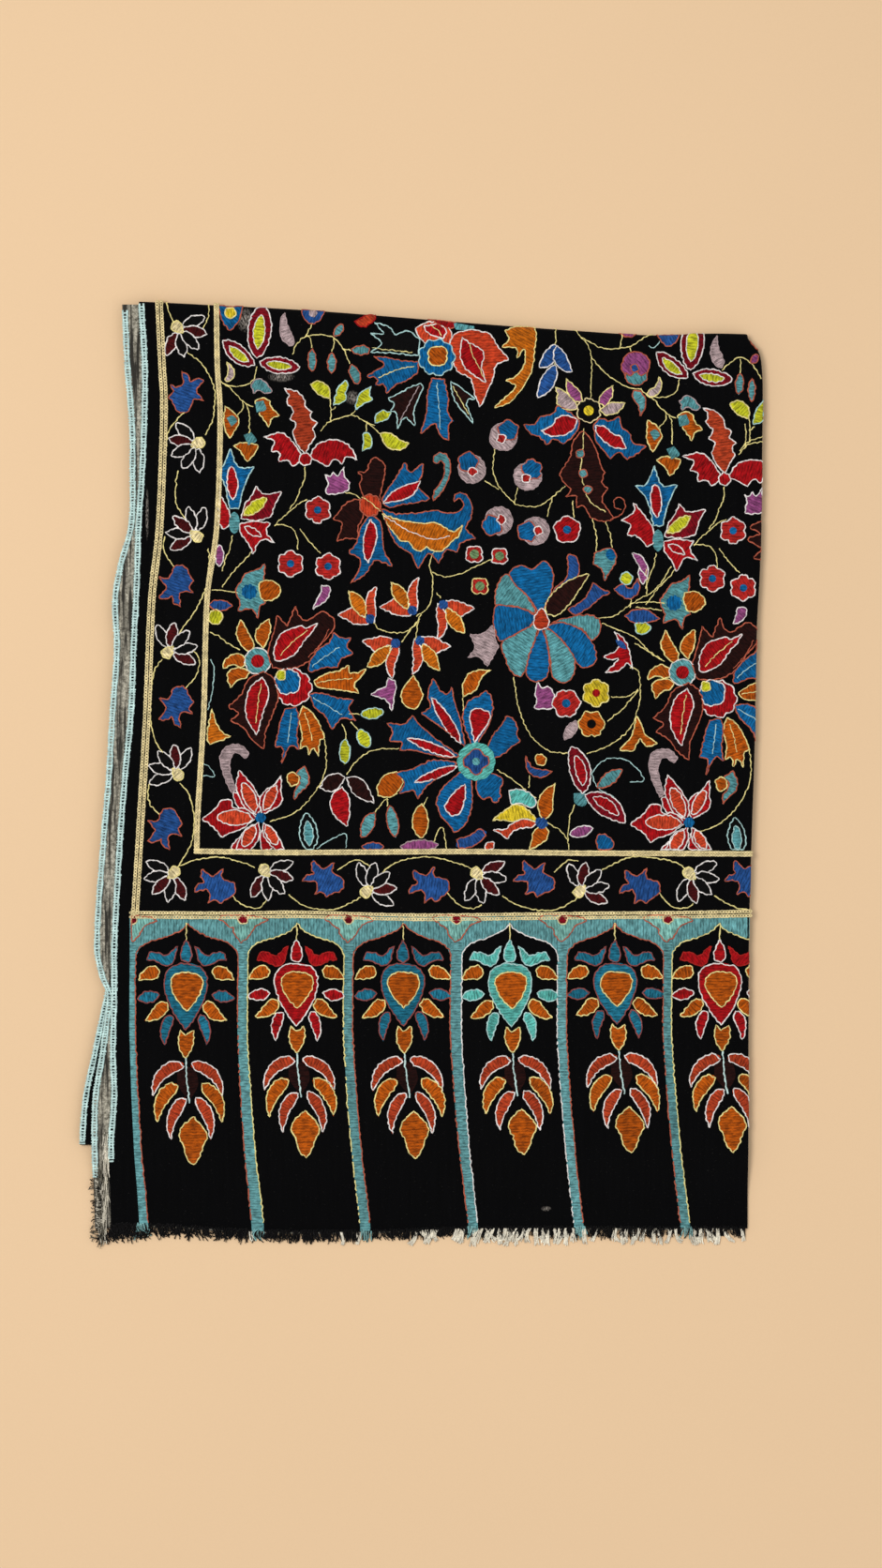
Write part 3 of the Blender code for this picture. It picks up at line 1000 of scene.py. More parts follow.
class Work:
    """Fills and outlines of one stretch of embroidery, gathered before they become meshes.

    Two maps of small cells over the flat cloth keep how high it is worked so far and which
    patch is on top, so that a patch drapes over those under it and hides their outlines.
    """

    def __init__(self, seed):
        self.places, self.lifts, self.faces, self.uvs, self.dyes = [], [], [], [], []
        self.lines = []
        self.count = 0
        self.patches = 0
        self.chance = np.random.default_rng(seed)
        self.height = np.zeros((int(CHART["wide"] / CELL), int(CHART["high"] / CELL)), np.float32)
        self.top = np.zeros(self.height.shape, np.int32)

    def cells(self, places):
        """Cells under flat places."""
        at = ((np.asarray(places) - (CHART["x"], CHART["y"])) / CELL).astype(int)
        return tuple(np.clip(at[..., k], 0, self.height.shape[k] - 1) for k in (0, 1))

    def patch(self, places, faces, uv, dye, rim):
        """Sews a patch of flat places and faces inside a rim, with the places of its stitches."""
        low = np.maximum(np.array(self.cells(rim.min(0))) - SPREAD_CELLS, 0)
        high = np.array(self.cells(rim.max(0))) + SPREAD_CELLS + 1
        window = (slice(low[0], high[0]), slice(low[1], high[1]))
        old = self.height[window]
        x = CHART["x"] + (low[0] + np.arange(old.shape[0]) + 0.5) * CELL
        y = CHART["y"] + (low[1] + np.arange(old.shape[1]) + 0.5) * CELL
        mask = within(rim, x[:, None], y[None, :])
        depth, inner = np.zeros(old.shape), mask
        for _ in range(DOME_CELLS):
            inner = worn_in(inner)
            depth += inner
        swell = FILL_DOME * ease(depth / DOME_CELLS)
        level = np.maximum(FILL_LIFT, spread(old, SPREAD_CELLS) + FILL_CLEAR) + swell
        self.patches += 1
        self.top[window][worn_in(mask)] = self.patches
        i, j = self.cells(places)
        self.places.append(places)
        self.lifts.append(level[i - low[0], j - low[1]])
        old[mask] = level[mask]
        corners = places[np.array([face[:3] for face in faces])]
        facing = np.cross(corners[:, 1] - corners[:, 0], corners[:, 2] - corners[:, 0]).sum()
        self.faces += [[int(k) + self.count for k in (face if facing > 0 else face[::-1])] for face in faces]
        self.uvs.append(uv + self.chance.uniform(0, 1, 2))
        tone = self.chance.uniform(*TONES) * self.chance.normal(1, DYE_WANDER, (len(places), 1))
        self.dyes.append(np.hstack([np.array(linear(DYES[dye])) * tone, np.ones_like(tone)]))
        self.count += len(places)

    def outline(self, places, dye, closed=True, gauge=1.0):
        """Keeps a line of flat places, to be laid when the patches are all sewn."""
        if closed:
            places = np.vstack([places, places[:1]])
        long = np.concatenate([[0], np.cumsum(np.hypot(*np.diff(places, axis=0).T))])
        if long[-1] < LINE_STEP:
            return
        even = np.linspace(0, long[-1], max(4, int(long[-1] / LINE_STEP) + 1))
        line = np.stack([np.interp(even, long, places[:, k]) for k in (0, 1)], -1)
        along = np.gradient(line, axis=0)
        aside = np.stack([-along[:, 1], along[:, 0]], -1) / np.maximum(np.hypot(*along.T), 1e-9)[:, None]
        turns = np.linspace(0, 2 * math.pi, len(line))
        first, second = self.chance.uniform(0, 2 * math.pi, 2)
        count = max(1, round(long[-1] / WAVE["long"]))
        waves = np.sin(count * turns + first) * (0.6 + 0.4 * np.sin(2 * turns + second))
        line = line + aside * (WAVE["rise"] * waves)[:, None]
        sway = self.chance.normal(0, LINE_WANDER, (len(line) + 1, 2))
        line[1:-1] += (sway[1:-1] + sway[2:])[:-1] / 2 if len(line) > 2 else 0
        self.lines.append((line[:-1] if closed else line, closed, dye, gauge, self.patches))

    def laid_lines(self):
        """The stretches of the lines that no later patch hides, raised over the work."""
        found = []
        for line, closed, dye, gauge, order in self.lines:
            shown = (self.top[self.cells(line)] <= order) & (line[:, 0] < right_fold(line[:, 1]) + HALF)
            if closed and not shown.all():
                start = int(np.argmin(shown))
                line, shown, closed = np.roll(line, -start, axis=0), np.roll(shown, -start), False
            ends = np.flatnonzero(np.diff(np.concatenate([[0], shown.astype(int), [0]])))
            for start, end in zip(ends[::2], ends[1::2]):
                if end - start > 2:
                    found.append((line[start:end], closed, dye, gauge))
        places = np.concatenate([row[0] for row in found])
        steps = np.array([(0, 0), (1, 0), (-1, 0), (0, 1), (0, -1)]) * CELL
        near = [self.height[self.cells(places + step)] for step in steps]
        high = np.maximum.reduce(near)
        lines, start = [], 0
        for line, closed, dye, gauge in found:
            lift = high[start : start + len(line)]
            lift = (lift + np.roll(lift, 1) + np.roll(lift, -1)) / 3 if closed else lift
            lifts = np.maximum(lift + LINE_CLEAR, LINE_LIFT)
            lines.append((line, lifts, closed, linear(DYES[dye]), gauge))
            start += len(line)
        points = on_face(places[:, 0], places[:, 1], np.concatenate([row[1] for row in lines]))
        cuts = np.cumsum([len(row[0]) for row in lines])[:-1]
        return [(piece, *row[2:]) for piece, row in zip(np.split(points, cuts), lines)]

    def fills(self, name, material):
        """All patches as one piece, with the places of their stitches and their dyes."""
        places = np.concatenate(self.places)
        points = on_face(places[:, 0], places[:, 1], np.concatenate(self.lifts))
        obj = new_mesh(name, points, self.faces)
        give_uv(obj, np.concatenate(self.uvs), "Stitch")
        give_points(obj.data, "dye", "FLOAT_COLOR", self.dyes)
        obj.data.materials.append(material)
        return obj


def width_along(kind, s):
    """Share of a petal's width at shares s of its length."""
    rise, fall = SHAPES[kind]
    peak = rise / (rise + fall)
    return (s / peak) ** rise * ((1 - s) / (1 - peak)) ** fall


def petal_places(base, tip, wide, bend, kind, fine):
    """Grid of flat places over a petal from base to tip, bent sideways by a share of its length."""
    ahead = tip - base
    long = max(np.hypot(*ahead), 1e-6)
    ahead = ahead / long
    side = np.array([-ahead[1], ahead[0]])
    s = np.linspace(0, 1, (PETAL_ROWS - 1) * fine + 1)
    spine = base + np.outer(s, ahead) * long + np.outer(4 * s * (1 - s) * bend * long, side)
    lean = 4 * bend * (1 - 2 * s)
    across_way = side - lean[:, None] * ahead
    across_way /= np.linalg.norm(across_way, axis=1, keepdims=True)
    half = width_along(kind, np.clip(s, *PETAL_ENDS)) * wide / 2
    t = np.linspace(-1, 1, (PETAL_COLUMNS - 1) * fine + 1)
    grid = spine[:, None, :] + across_way[:, None, :] * (half[:, None] * t[None, :])[..., None]
    return grid, s[:, None] * long + 0 * t, half[:, None] * t


def disc_rim(centre, wide, lobes=0, turn=0.0, depth=0.0):
    """Rim of a round or lobed flower."""
    count = max(LEAST_DISC_PLACES, int(wide * math.pi / DISC_STEP))
    angle = np.linspace(0, 2 * math.pi, count, endpoint=False)
    swing = np.abs(np.cos(lobes * (angle - math.radians(turn)) / 2))
    radius = wide / 2 * (1 - depth * (1 - swing)) if lobes else np.full_like(angle, wide / 2)
    return np.stack([radius * np.cos(angle), radius * np.sin(angle)], -1) + centre


def at_fold(rim):
    """Whether a rim reaches the right fold or the top fold."""
    x, y = rim[..., 0], rim[..., 1]
    return bool(np.any(x > right_fold(y) - HALF - MM) or np.any(y > top_line(x) - MM))


def sew_grid(work, places, along, aside, dye):
    """Sews a patch over a grid of flat places."""
    rows, columns = places.shape[:2]
    rim = np.concatenate([places[:-1, -1], places[-1, :0:-1], places[:0:-1, 0], places[0, :-1]])
    uv = np.stack([along + 0 * aside, aside + 0 * along], -1).reshape(-1, 2)
    work.patch(places.reshape(-1, 2), grid_faces(rows, columns), uv, dye, rim)


def sew_inside(work, rim, dye):
    """Sews a patch of straight stitches inside a rim, along its greatest length."""
    step = FOLD_STEP if at_fold(rim) else FILL_STEP
    low, high = rim.min(0), rim.max(0)
    ends = zip(low, high, (step, step * ROW_SHARE))
    x, y = np.meshgrid(*(np.arange(*end) for end in ends), indexing="ij")
    x = x + (np.arange(x.shape[1]) % 2) * step / 2
    gap = np.min(np.hypot(x[..., None] - rim[:, 0], y[..., None] - rim[:, 1]), axis=-1)
    keep = within(rim, x, y) & (gap > RIM_GAP * step)
    spots = np.vstack([rim, np.stack([x[keep], y[keep]], -1)]) / MM
    found = delaunay_2d_cdt([Vector(p) for p in spots], [], [list(range(len(rim)))], 1, 1e-4)
    places = np.array([tuple(p) for p in found[0]]) * MM
    if not found[2]:
        return
    middle = rim.mean(0)
    far = rim[np.argmax(np.hypot(*(rim - middle).T))] - middle
    way = far / max(np.hypot(*far), 1e-6)
    side = np.array([-way[1], way[0]])
    uv = np.stack([(places - middle) @ way, (places - middle) @ side], -1)
    work.patch(places, found[2], uv, dye, rim)


def bow(a, b, c, d, spacing):
    """Places on a smooth curve from b up to c, with a before and d after them."""
    count = max(2, int(np.hypot(*(c - b)) / spacing))
    t = np.linspace(0, 1, count, endpoint=False)[:, None]
    return 0.5 * (2 * b + (c - a) * t + (2 * a - 5 * b + 4 * c - d) * t**2 + (3 * b - a - 3 * c + d) * t**3)


def curve_through(points, spacing=STEM_STEP):
    """Evenly spaced places on a smooth curve through a few places."""
    points = np.asarray(points, float)
    ends = np.vstack([2 * points[0] - points[1], points, 2 * points[-1] - points[-2]])
    found = [bow(*group, spacing) for group in zip(ends, ends[1:], ends[2:], ends[3:])]
    return np.vstack([*found, points[-1:]])


class Spot:
    """How a chart lies on the cloth: where, mirrored, turned, inside limits, its dyes swapped.

    at is a shift in the photograph's pixels, or a function that moves them. drift is a chart
    that moves petals across by their height.
    """

    def __init__(self, at=(0.0, 0.0), limits=None, flip=1.0, turn=0.0, swap=None, drift=None):
        self.at, self.limits, self.flip, self.turn = at, limits, flip, turn
        self.swap, self.drift = swap or {}, drift

    def flat(self, px, py):
        """Flat places of the chart's pixels."""
        c, s = math.cos(math.radians(self.turn)), math.sin(math.radians(self.turn))
        px, py = self.flip * (px * c + py * s), py * c - px * s
        if callable(self.at):
            return placed(*self.at(px, py))
        return placed(self.at[0] + px, self.at[1] + py)

    def inside(self, places):
        """Flat places held inside the limits."""
        if self.limits is None:
            return places
        low_x, low_y = self.limits
        places = places.copy()
        places[..., 1] = np.maximum(places[..., 1], low_y)
        places[..., 0] = np.maximum(places[..., 0], low_x(places[..., 1]))
        return places


PETAL = "px py to_px to_py wide bend kind fill line core"
DISC = "px py wide lobes turn depth fill line core heart"


def sew_petal(work, words, spot):
    """Sews a petal and its inner patch, each with its outline."""
    row = named(PETAL, words)
    fill, line, core = (spot.swap.get(row[key], row[key]) for key in ("fill", "line", "core"))
    drift = 0.0
    if spot.drift:
        drift = spot.flip * between(spot.drift, "py", "drift", (row["py"] + row["to_py"]) / 2)
    base, tip = spot.flat(row["px"] + drift, row["py"]), spot.flat(row["to_px"] + drift, row["to_py"])
    wide, bend = row["wide"] * MM, row["bend"] * spot.flip
    fine = 2 if wide > BROAD_PETAL or at_fold(np.stack([base, tip])) else 1
    ahead = tip - base
    shift = np.array([-ahead[1], ahead[0]]) * bend * CORE_SHIFT
    start, end = base + ahead * CORE_START + shift, base + ahead * CORE_END + shift
    patches = (
        (fill, 1.0, base, tip, wide, bend),
        (core, MINOR_GAUGE, start, end, wide * CORE_WIDE, bend * CORE_BEND),
    )
    for dye, gauge, *sizes in patches:
        if dye:
            places, along, aside = petal_places(*sizes, row["kind"], fine)
            places = spot.inside(places)
            sew_grid(work, places, along, aside, dye)
            if line:
                work.outline(np.concatenate([places[:, -1], places[-2:0:-1, 0]]), line, gauge=gauge)


def sew_disc(work, words, spot):
    """Sews a round or lobed flower, with its outline and its heart."""
    row = named(DISC, words)
    centre, wide = spot.flat(row["px"], row["py"]), row["wide"] * MM
    turn = (row["turn"] + spot.turn) * spot.flip
    rim = spot.inside(disc_rim(centre, wide, int(row["lobes"]), turn, row["depth"]))
    sew_inside(work, rim, row["fill"])
    if row["line"]:
        work.outline(rim, row["line"])
    if row["core"]:
        heart = disc_rim(centre, wide * (row["heart"] or HEART_WIDE))
        sew_inside(work, spot.inside(heart), row["core"])


def sew_stem(work, words, spot):
    """Sews a stem: its dye unless it is straw, its gauge and the pixels that it passes."""
    dye, gauge, *numbers = words if words[0] in DYES else ["straw", *words]
    line = curve_through(spot.flat(*np.array(numbers, float).reshape(-1, 2).T))
    work.outline(spot.inside(line), dye, closed=False, gauge=float(gauge))


def sew_shape(work, words, spot):
    """Sews a free shape: its dye, its outline's dye and the pixels of its corners.

    The outline is smooth at a corner, and sharp at one that ends in ^.
    """
    fill, edge, *marks = [spot.swap.get(word, word) for word in words]
    sharp = [mark.endswith("^") for mark in marks]
    flat = spot.flat(*np.array([mark.rstrip("^").split(",") for mark in marks], float).T)
    rim = []
    for i, start in enumerate(flat):
        after, later = (i + 1) % len(flat), (i + 2) % len(flat)
        end = flat[after]
        before = 2 * start - end if sharp[i] else flat[i - 1]
        beyond = 2 * end - start if sharp[after] else flat[later]
        rim.append(bow(before, start, end, beyond, SHAPE_STEP))
    rim = spot.inside(np.vstack(rim))
    if fill != "-":
        sew_inside(work, rim, fill)
    if edge != "-":
        work.outline(rim, edge)


SEWERS = {"stems": sew_stem, "shapes": sew_shape, "petals": sew_petal, "discs": sew_disc}


def sew(work, chart, *where, **how):
    """Sews a chart, whose lines come under the heading of their kind."""
    spot = Spot(*where, **how)
    for words in lines_of(chart):
        if words[0] in SEWERS:
            sewer = SEWERS[words[0]]
        else:
            sewer(work, words, spot)


# Border


OUTER_CORD = "170 300 170 325 173 390 175 440 170.5 560 162 640 157 760 150.5 870 144 976"
INNER_CORD = "231 300 231 325 232 390 235 450 231.5 560 221 640 217.5 760 211 870 210 908"
OUTER_ACROSS = "140.5 975.5 250 976 320 975 440 978 560 977 640 976 720 975.5 800 974 830 974"
INNER_ACROSS = "209 907.5 300 909 400 908.5 500 908 600 909.5 700 910 800 910.5 830 911"
CHAIN = {"Pitch": 2.3 * MM, "Long": 3.1 * MM, "Ply": 0.52 * MM}
CORD_LIFT = 0.5 * MM
# Each cord: its two lines, how far its two chains lie apart, a link's width and the seed of its links
CORDS = {
    "outer_cord": ((OUTER_CORD, OUTER_ACROSS), 1.7 * MM, 2.0 * MM, 3),
    "inner_cord": ((INNER_CORD, INNER_ACROSS), 1.15 * MM, 1.3 * MM, 4),
}


def pixels(text):
    """Pixels of a line, a column each for across and down."""
    return np.array(text.split(), float).reshape(-1, 2).T


def beside(line, offset):
    """A line of flat places moved sideways."""
    ahead = np.gradient(line, axis=0)
    ahead /= np.linalg.norm(ahead, axis=1, keepdims=True)
    return line + np.stack([-ahead[:, 1], ahead[:, 0]], -1) * offset


# Lotus of the border: the turns of its petals about its axis, a petal and its calyx at the middle
LOTUS_TURNS = (-68, 68, -34, 34, 0)
LOTUS_PETAL = """
petals
5 0 32 0 8.8 0 leaf black white
"""
LOTUS_CALYX = """
petals
-8 0 8 0 8.6 0 bud cream straw
"""
BORDER_STAR = """
shapes
royal salmon -5,-22^ 2,-18 4,-10^ 11,-14 19,-13^ 14,-7 10,-1^ 19,10^ 9,8 5,14 2,21 -7,22^ -11,19
  -15,11 -19,5^ -14,0 -18,-8^ -10,-5 -3,-8^ -4,-15
"""
# Where each lotus lies and how far it is turned, in the photograph's pixels
LOTUSES = rows_of("px py turn", """
190 350 -45
211 473 205
209 571 140
180 695 45
189 825 130
185 931 225
283 929 -50
392 950 40
509.5 932 -45
619 950 45
736 932 -45
""")
STARS = rows_of("px py turn", """
199 418 0
188 625 180
188 754 180
176 884 180
229 945 92
345 937 84
457 944 100
570 937 84
682 945 96
795 937 84
""")
BORDER_STEMS = """
stems
0.9 176 310 178 323 182 336 187 346
0.9 219 310 223 328 222 340 216 351
0.9 200 376 212 385 222 398 229 415 229 432 226 450 219 464
0.9 197 440 192 444 184 454 179 463 178 476
0.9 190 502 188 515 187 530 190 541 200 556
0.9 176 572 174 582 178 594 188 607
0.9 222 585 223 600 220 625 214 640 206 655 197 667 186 683
0.9 173 703 165 715 162 730 161 748 161 770 168 794 182 812
0.9 186 694 206 694 213 707 208 723 197 735
0.9 170 826 160 836 158 848 162 860 170 868
0.9 192 835 201 846 206 862 207 880 204 900 194 918 187 929
0.9 188 925 209 917 232 914 250 917 272 925
0.9 246 952 252 960 262 966 277 968 286 957
0.9 308 954 318 962 331 968 348 970 362 968 385 957
0.9 360 928 370 921 382 917 395 924
0.9 408 930 420 921 440 915 457 914 473 916 490 921 503 926
0.9 476 951 490 965 503 969 514 965
0.9 536 955 548 963 566 969 582 971 597 969 617 957
0.9 591 930 605 918 617 918
0.9 636 930 650 924 672 914 700 915 718 919 732 926
0.9 703 952 717 967 735 967 745 957
0.9 762 955 775 963 790 969 812 970
"""


def sew_border(work):
    """The border's stems, then its lotuses and its stars."""
    sew(work, BORDER_STEMS)
    for i, lotus in enumerate(LOTUSES):
        at = (lotus["px"], lotus["py"])
        for k, turn in enumerate(LOTUS_TURNS):
            swap = {"black": "maroon"} if (i + k) % 3 == 0 else None
            sew(work, LOTUS_PETAL, at, turn=lotus["turn"] + turn, swap=swap)
        sew(work, LOTUS_CALYX, at, turn=lotus["turn"])
    for star in STARS:
        sew(work, BORDER_STAR, (star["px"], star["py"]), turn=star["turn"])


# Arches at the end


# Each arch: its point, its sides at the shoulders and at the hem, its outline and its drops' dyes
ARCHES = rows_of("apex left right left_hem right_hem line drop edge top middle foot lift rise", """
201 145 254 157.5 268 salmon petrol dusk -2 -2 -1.5 4 0
317.5 264.5 367 281 384 straw crimson white -0.8 -0.5 2 8 8
431 377 481 395 500 salmon petrol dusk -1 0 5.5 8 7
544 493 595 510 613 white aqua mist 0 2.5 7.4 7 11
656 605 708 623 727 salmon petrol dusk 0 3 10.5 10 13
767 717 822 737 842 straw crimson white 1 3 8.4 9 14
""")
# Heights at which a pendant's shifts to the right and upwards are given: its top, middle and foot
HANG_PY = (1030, 1095, 1242)
ARCH_TOP_PY, SHOULDER_PY, CORD_PY, ARCH_FOOT_PY = 985.0, 1020.0, 977.0, 1313.0
# The ogee from the point to the shoulder: shares of the half width and of the fall
OGEE = rows_of("share fall", """
0 0
0.1 0.16
0.26 0.3
0.5 0.44
0.74 0.54
0.9 0.7
0.98 0.86
1 1
""")
# How much of a pillar's shift to the right has happened at each height
LEAN = rows_of("py share", """
1020 0
1060 -0.03
1100 -0.04
1150 0.12
1184 0.26
1240 0.55
1309 1
""")
# Drift of an arch's axis to the right, at each height
AXIS_DRIFT = rows_of("py drift", """
984 0
1100 -1
1150 0.5
1192 4
1242 6.5
""")
PILLAR_GAUGE = 0.95
# Left of the first arch: the scallop's middle, the cord's edge and the pillar's width
FIRST_SCALLOP_PX, CORD_EDGE_PX, FIRST_PILLAR = 141.0, 140.5, {"wide": 6.5, "wider": 3.0}
# What hangs in an arch, from its axis; drop and edge stand for the arch's own dyes
PENDANT = """
petals
0 1102 0 1027 34.5 0 drop drop edge
1 1081 1 1037 25.5 0 drop rust straw
0 1002 0 1026 9.4 0 drop drop edge
"""
PENDANT_SIDES = """
petals
28 1037 51 1046 10.5 0.1 bud rust straw
28 1063 52 1067 9 0 leaf drop edge
21 1071 44 1092 10 -0.1 bud rust straw
15 1086 22 1118 8 0.1 bud drop edge
4 1138 37 1171 9 0.2 blade tile white
13 1159 34 1198 10.5 0.16 bud rust straw
5 1173 21 1216 9 0.14 bud tile white
"""
PENDANT_BIRD = """
shapes
drop edge 9,1009^ 14,1012 18,1017 24,1019 29,1016 39,1015^ 43,1024^ 35,1024 29,1027 21,1030 14,1026
  12,1019
"""
PENDANT_BUD = """
shapes
rust straw -6.5,1102^ -1,1108^ 7.5,1102^ 8,1113 5,1123 -1,1131^ -7,1122 -8.5,1113
rust straw 7,1192^ 13,1198 19,1205 22,1212 20,1218 17,1223^ 15,1230 11,1238 7,1242^ 2,1238 -2,1230
  -3,1223^ -6,1218 -8,1212 -6,1204 1,1197
"""
PENDANT_SHADE = """
shapes
bark - -10,1146^ 1,1140 11,1147^ 12,1160 3,1176^ -9,1160
stems
1 0 984 0 1004
pale_teal 1.25 -0.5 1131 0 1150 3 1178
"""
# A hanging scallop of the cord between two arches, and its heart
CARTOUCHE = """
shapes
light_sea salmon -26,1^ -19,5 -15,9 -10,11 -9,17 -2,26^ 5,21 10,14 13,9 18,6 27,3^ 20,-1 0,-3 -20,-3
"""
CARTOUCHE_HEART = """
discs
0 0 8 0 0 0 wine cream
"""
SCALLOP_PY, SCALLOP_HEART_PY = 979, 980


def lean_share(py):
    """Share of a pillar's shift at a height."""
    return between(LEAN, "py", "share", py)


def arch_side(arch, side, py):
    """Pixel of an arch's left or right outline at a height below its shoulder."""
    return arch[side] + (arch[side + "_hem"] - arch[side]) * lean_share(py)


def ogee_height(arch, px):
    """Pixel height of the arch's outline over a pixel across."""
    px = np.asarray(px, float)
    half = np.where(px < arch["apex"], arch["apex"] - arch["left"], arch["right"] - arch["apex"])
    share = np.clip(np.abs(px - arch["apex"]) / half, 0, 1)
    fall = between(OGEE, "share", "fall", share)
    return ARCH_TOP_PY + (SHOULDER_PY - ARCH_TOP_PY) * fall


def arch_outline(arch, side):
    """Places along one side of an arch, from its point down to the hem."""
    half = arch[side] - arch["apex"]
    down = SHOULDER_PY - ARCH_TOP_PY
    ogee = [(arch["apex"] + half * row["share"], ARCH_TOP_PY + down * row["fall"]) for row in OGEE]
    heights = np.arange(SHOULDER_PY + 15, ARCH_FOOT_PY + 1, 18)
    leg = np.stack([arch_side(arch, side, heights), heights], -1)
    return curve_through(placed(*np.vstack([ogee, leg]).T))


def sew_pillar(work, left, right):
    """Fills from one line to another one, which give pixels across at a height, down to the hem."""
    rows, columns = 90, 5
    share = np.linspace(0, 1, rows)[:, None]
    py = CORD_PY + (ARCH_FOOT_PY + 1 - CORD_PY) * share
    px = left(py) + (right(py) - left(py)) * np.linspace(0, 1, columns)[None, :]
    x = flat_x(px)
    y = np.maximum(flat_y(py + 0 * px), hem(x) + 0.3 * MM)
    sew_grid(work, np.stack([x, y], -1), y, x, "sea")


def sew_spandrel(work, arch, start, end):
    """Fills between the cord and the arch's outline, from one pixel across to another."""
    columns, rows = 16, 8
    px = np.linspace(start, end, columns)[:, None]
    py = CORD_PY + (ogee_height(arch, px) - CORD_PY) * np.linspace(0, 1, rows)[None, :]
    places = placed(px + 0 * py, py)
    sew_grid(work, places, places[..., 0], places[..., 1], "sea")


def hang_of(arch):
    """Mover of an arch's charts to its own axis: each pendant leans and ends at its own height."""

    def move(px, py):
        """Pixels of the arch for a pendant's pixels."""
        across = np.interp(py, HANG_PY, (arch["top"], arch["middle"], arch["foot"]))
        upwards = np.interp(py, HANG_PY, (0, arch["lift"], arch["rise"]))
        return arch["apex"] + across + px, py - upwards

    return move


def sew_arches(work):
    """The band of arches: the spandrels and pillars, the outlines and what hangs in each."""
    nowhere = float(flat_y(2 * PHOTO["high"]))
    inside = (lambda y: flat_x(CORD_EDGE_PX) + 0 * y, nowhere)
    for i, arch in enumerate(ARCHES):
        sew_spandrel(work, arch, arch["left"], arch["apex"])
        sew_spandrel(work, arch, arch["apex"], arch["right"])
        before = ARCHES[i - 1] if i else None

        def right(py):
            """Right side of the pillar before the arch."""
            return arch_side(arch, "left", py)

        def left(py):
            """Left side of the pillar before the arch."""
            if before:
                return arch_side(before, "right", py)
            return right(py) - FIRST_PILLAR["wide"] - FIRST_PILLAR["wider"] * lean_share(py)

        sew_pillar(work, left, right)
        for side in ("left", "right"):
            work.outline(arch_outline(arch, side), arch["line"], closed=False, gauge=PILLAR_GAUGE)
        scallop = (before["right"] + arch["left"]) / 2 if before else FIRST_SCALLOP_PX
        sew(work, CARTOUCHE, (scallop, SCALLOP_PY), inside)
        sew(work, CARTOUCHE_HEART, (scallop, SCALLOP_HEART_PY), inside)
        swap = {"drop": arch["drop"], "edge": arch["edge"]}
        bird = {**swap, "edge": "brick"} if arch["drop"] == "crimson" else swap
        hung = hang_of(arch)
        sew(work, PENDANT_SHADE, hung)
        for flip in (-1.0, 1.0):
            sew(work, PENDANT_SIDES, hung, flip=flip, swap=swap, drift=AXIS_DRIFT)
            sew(work, PENDANT_BIRD, hung, flip=flip, swap=bird)
        sew(work, PENDANT, hung, swap=swap, drift=AXIS_DRIFT)
        sew(work, PENDANT_BUD, hung)


# Field


# The corner's flower, its stars and its almonds, which come twice across the cloth
CORNER_STEMS = """
stems
0.8 233 402 237 408 250 412 264 410 271 404 274 391
0.8 238 409 247 415 255 424 262 430 270 434
0.8 259 427 259 436 252 444
0.8 263 430 266 443 266 462
"""
CORNER_SHAPES = """
shapes
slate mauve 268,410^ 275,404 283,407 287,413 291,417^ 284,420 276,416 271,420^
"""
CORNER_STARS = """
shapes
rust straw 272,428^ 280,424 288,427^ 290,435 299,443^ 291,446 287,456^ 283,449 277,441
slate - 272,429^ 281,427^ 284,437 274,440^
rust straw 249,476^ 259,472 276,475^ 273,482 264,493^ 257,482
slate - 260,464^ 268,461^ 274,470 265,475^
rust straw 240,433^ 251,441 255,451 250,460 245,468^ 239,454
slate - 242,446^ 248,443 253,449 247,455^
"""
ALMONDS = """
petals
275 382 281 324 18.5 0.02 lens wine white lime
272 389 239 362 13.5 0.06 lens wine white lime
277 386 320 392 13 -0.02 lens wine white lime
"""
# What comes twice moves a little less or more in some charts: shares of the shift across and down
CORNER = (
    (CORNER_STEMS, 0.987, 0.67),
    (CORNER_SHAPES, 1, 1),
    (CORNER_STARS, 0.987, 0.83),
    (ALMONDS, 1.011, 0.72),
)
CORNER_REPEATS = ((0, 0), (457, 18))
# The corner's twigs
TWIGS = """
stems
0.8 312 378 316 368 326 359 344 357 357 361 366 372 373 388
0.8 326 359 330 352 334 343
0.8 333 371 332 363 328 358
0.8 354 375 356 367 356 361
0.8 374 374 366 372
petals
313 368 304 333 8 0.14 bud mauve mauve
241 407 242 386 5.6 -0.25 bud mauve straw
333 372 333 396 6.6 0 lens slate salmon
354 376 354 398 6.8 0 lens slate salmon
375 389 382 410 7.8 0 lens slate salmon
375 374 395 373 7.6 0 lens slate salmon
357 359 366 346 6.2 0 lens slate salmon
"""
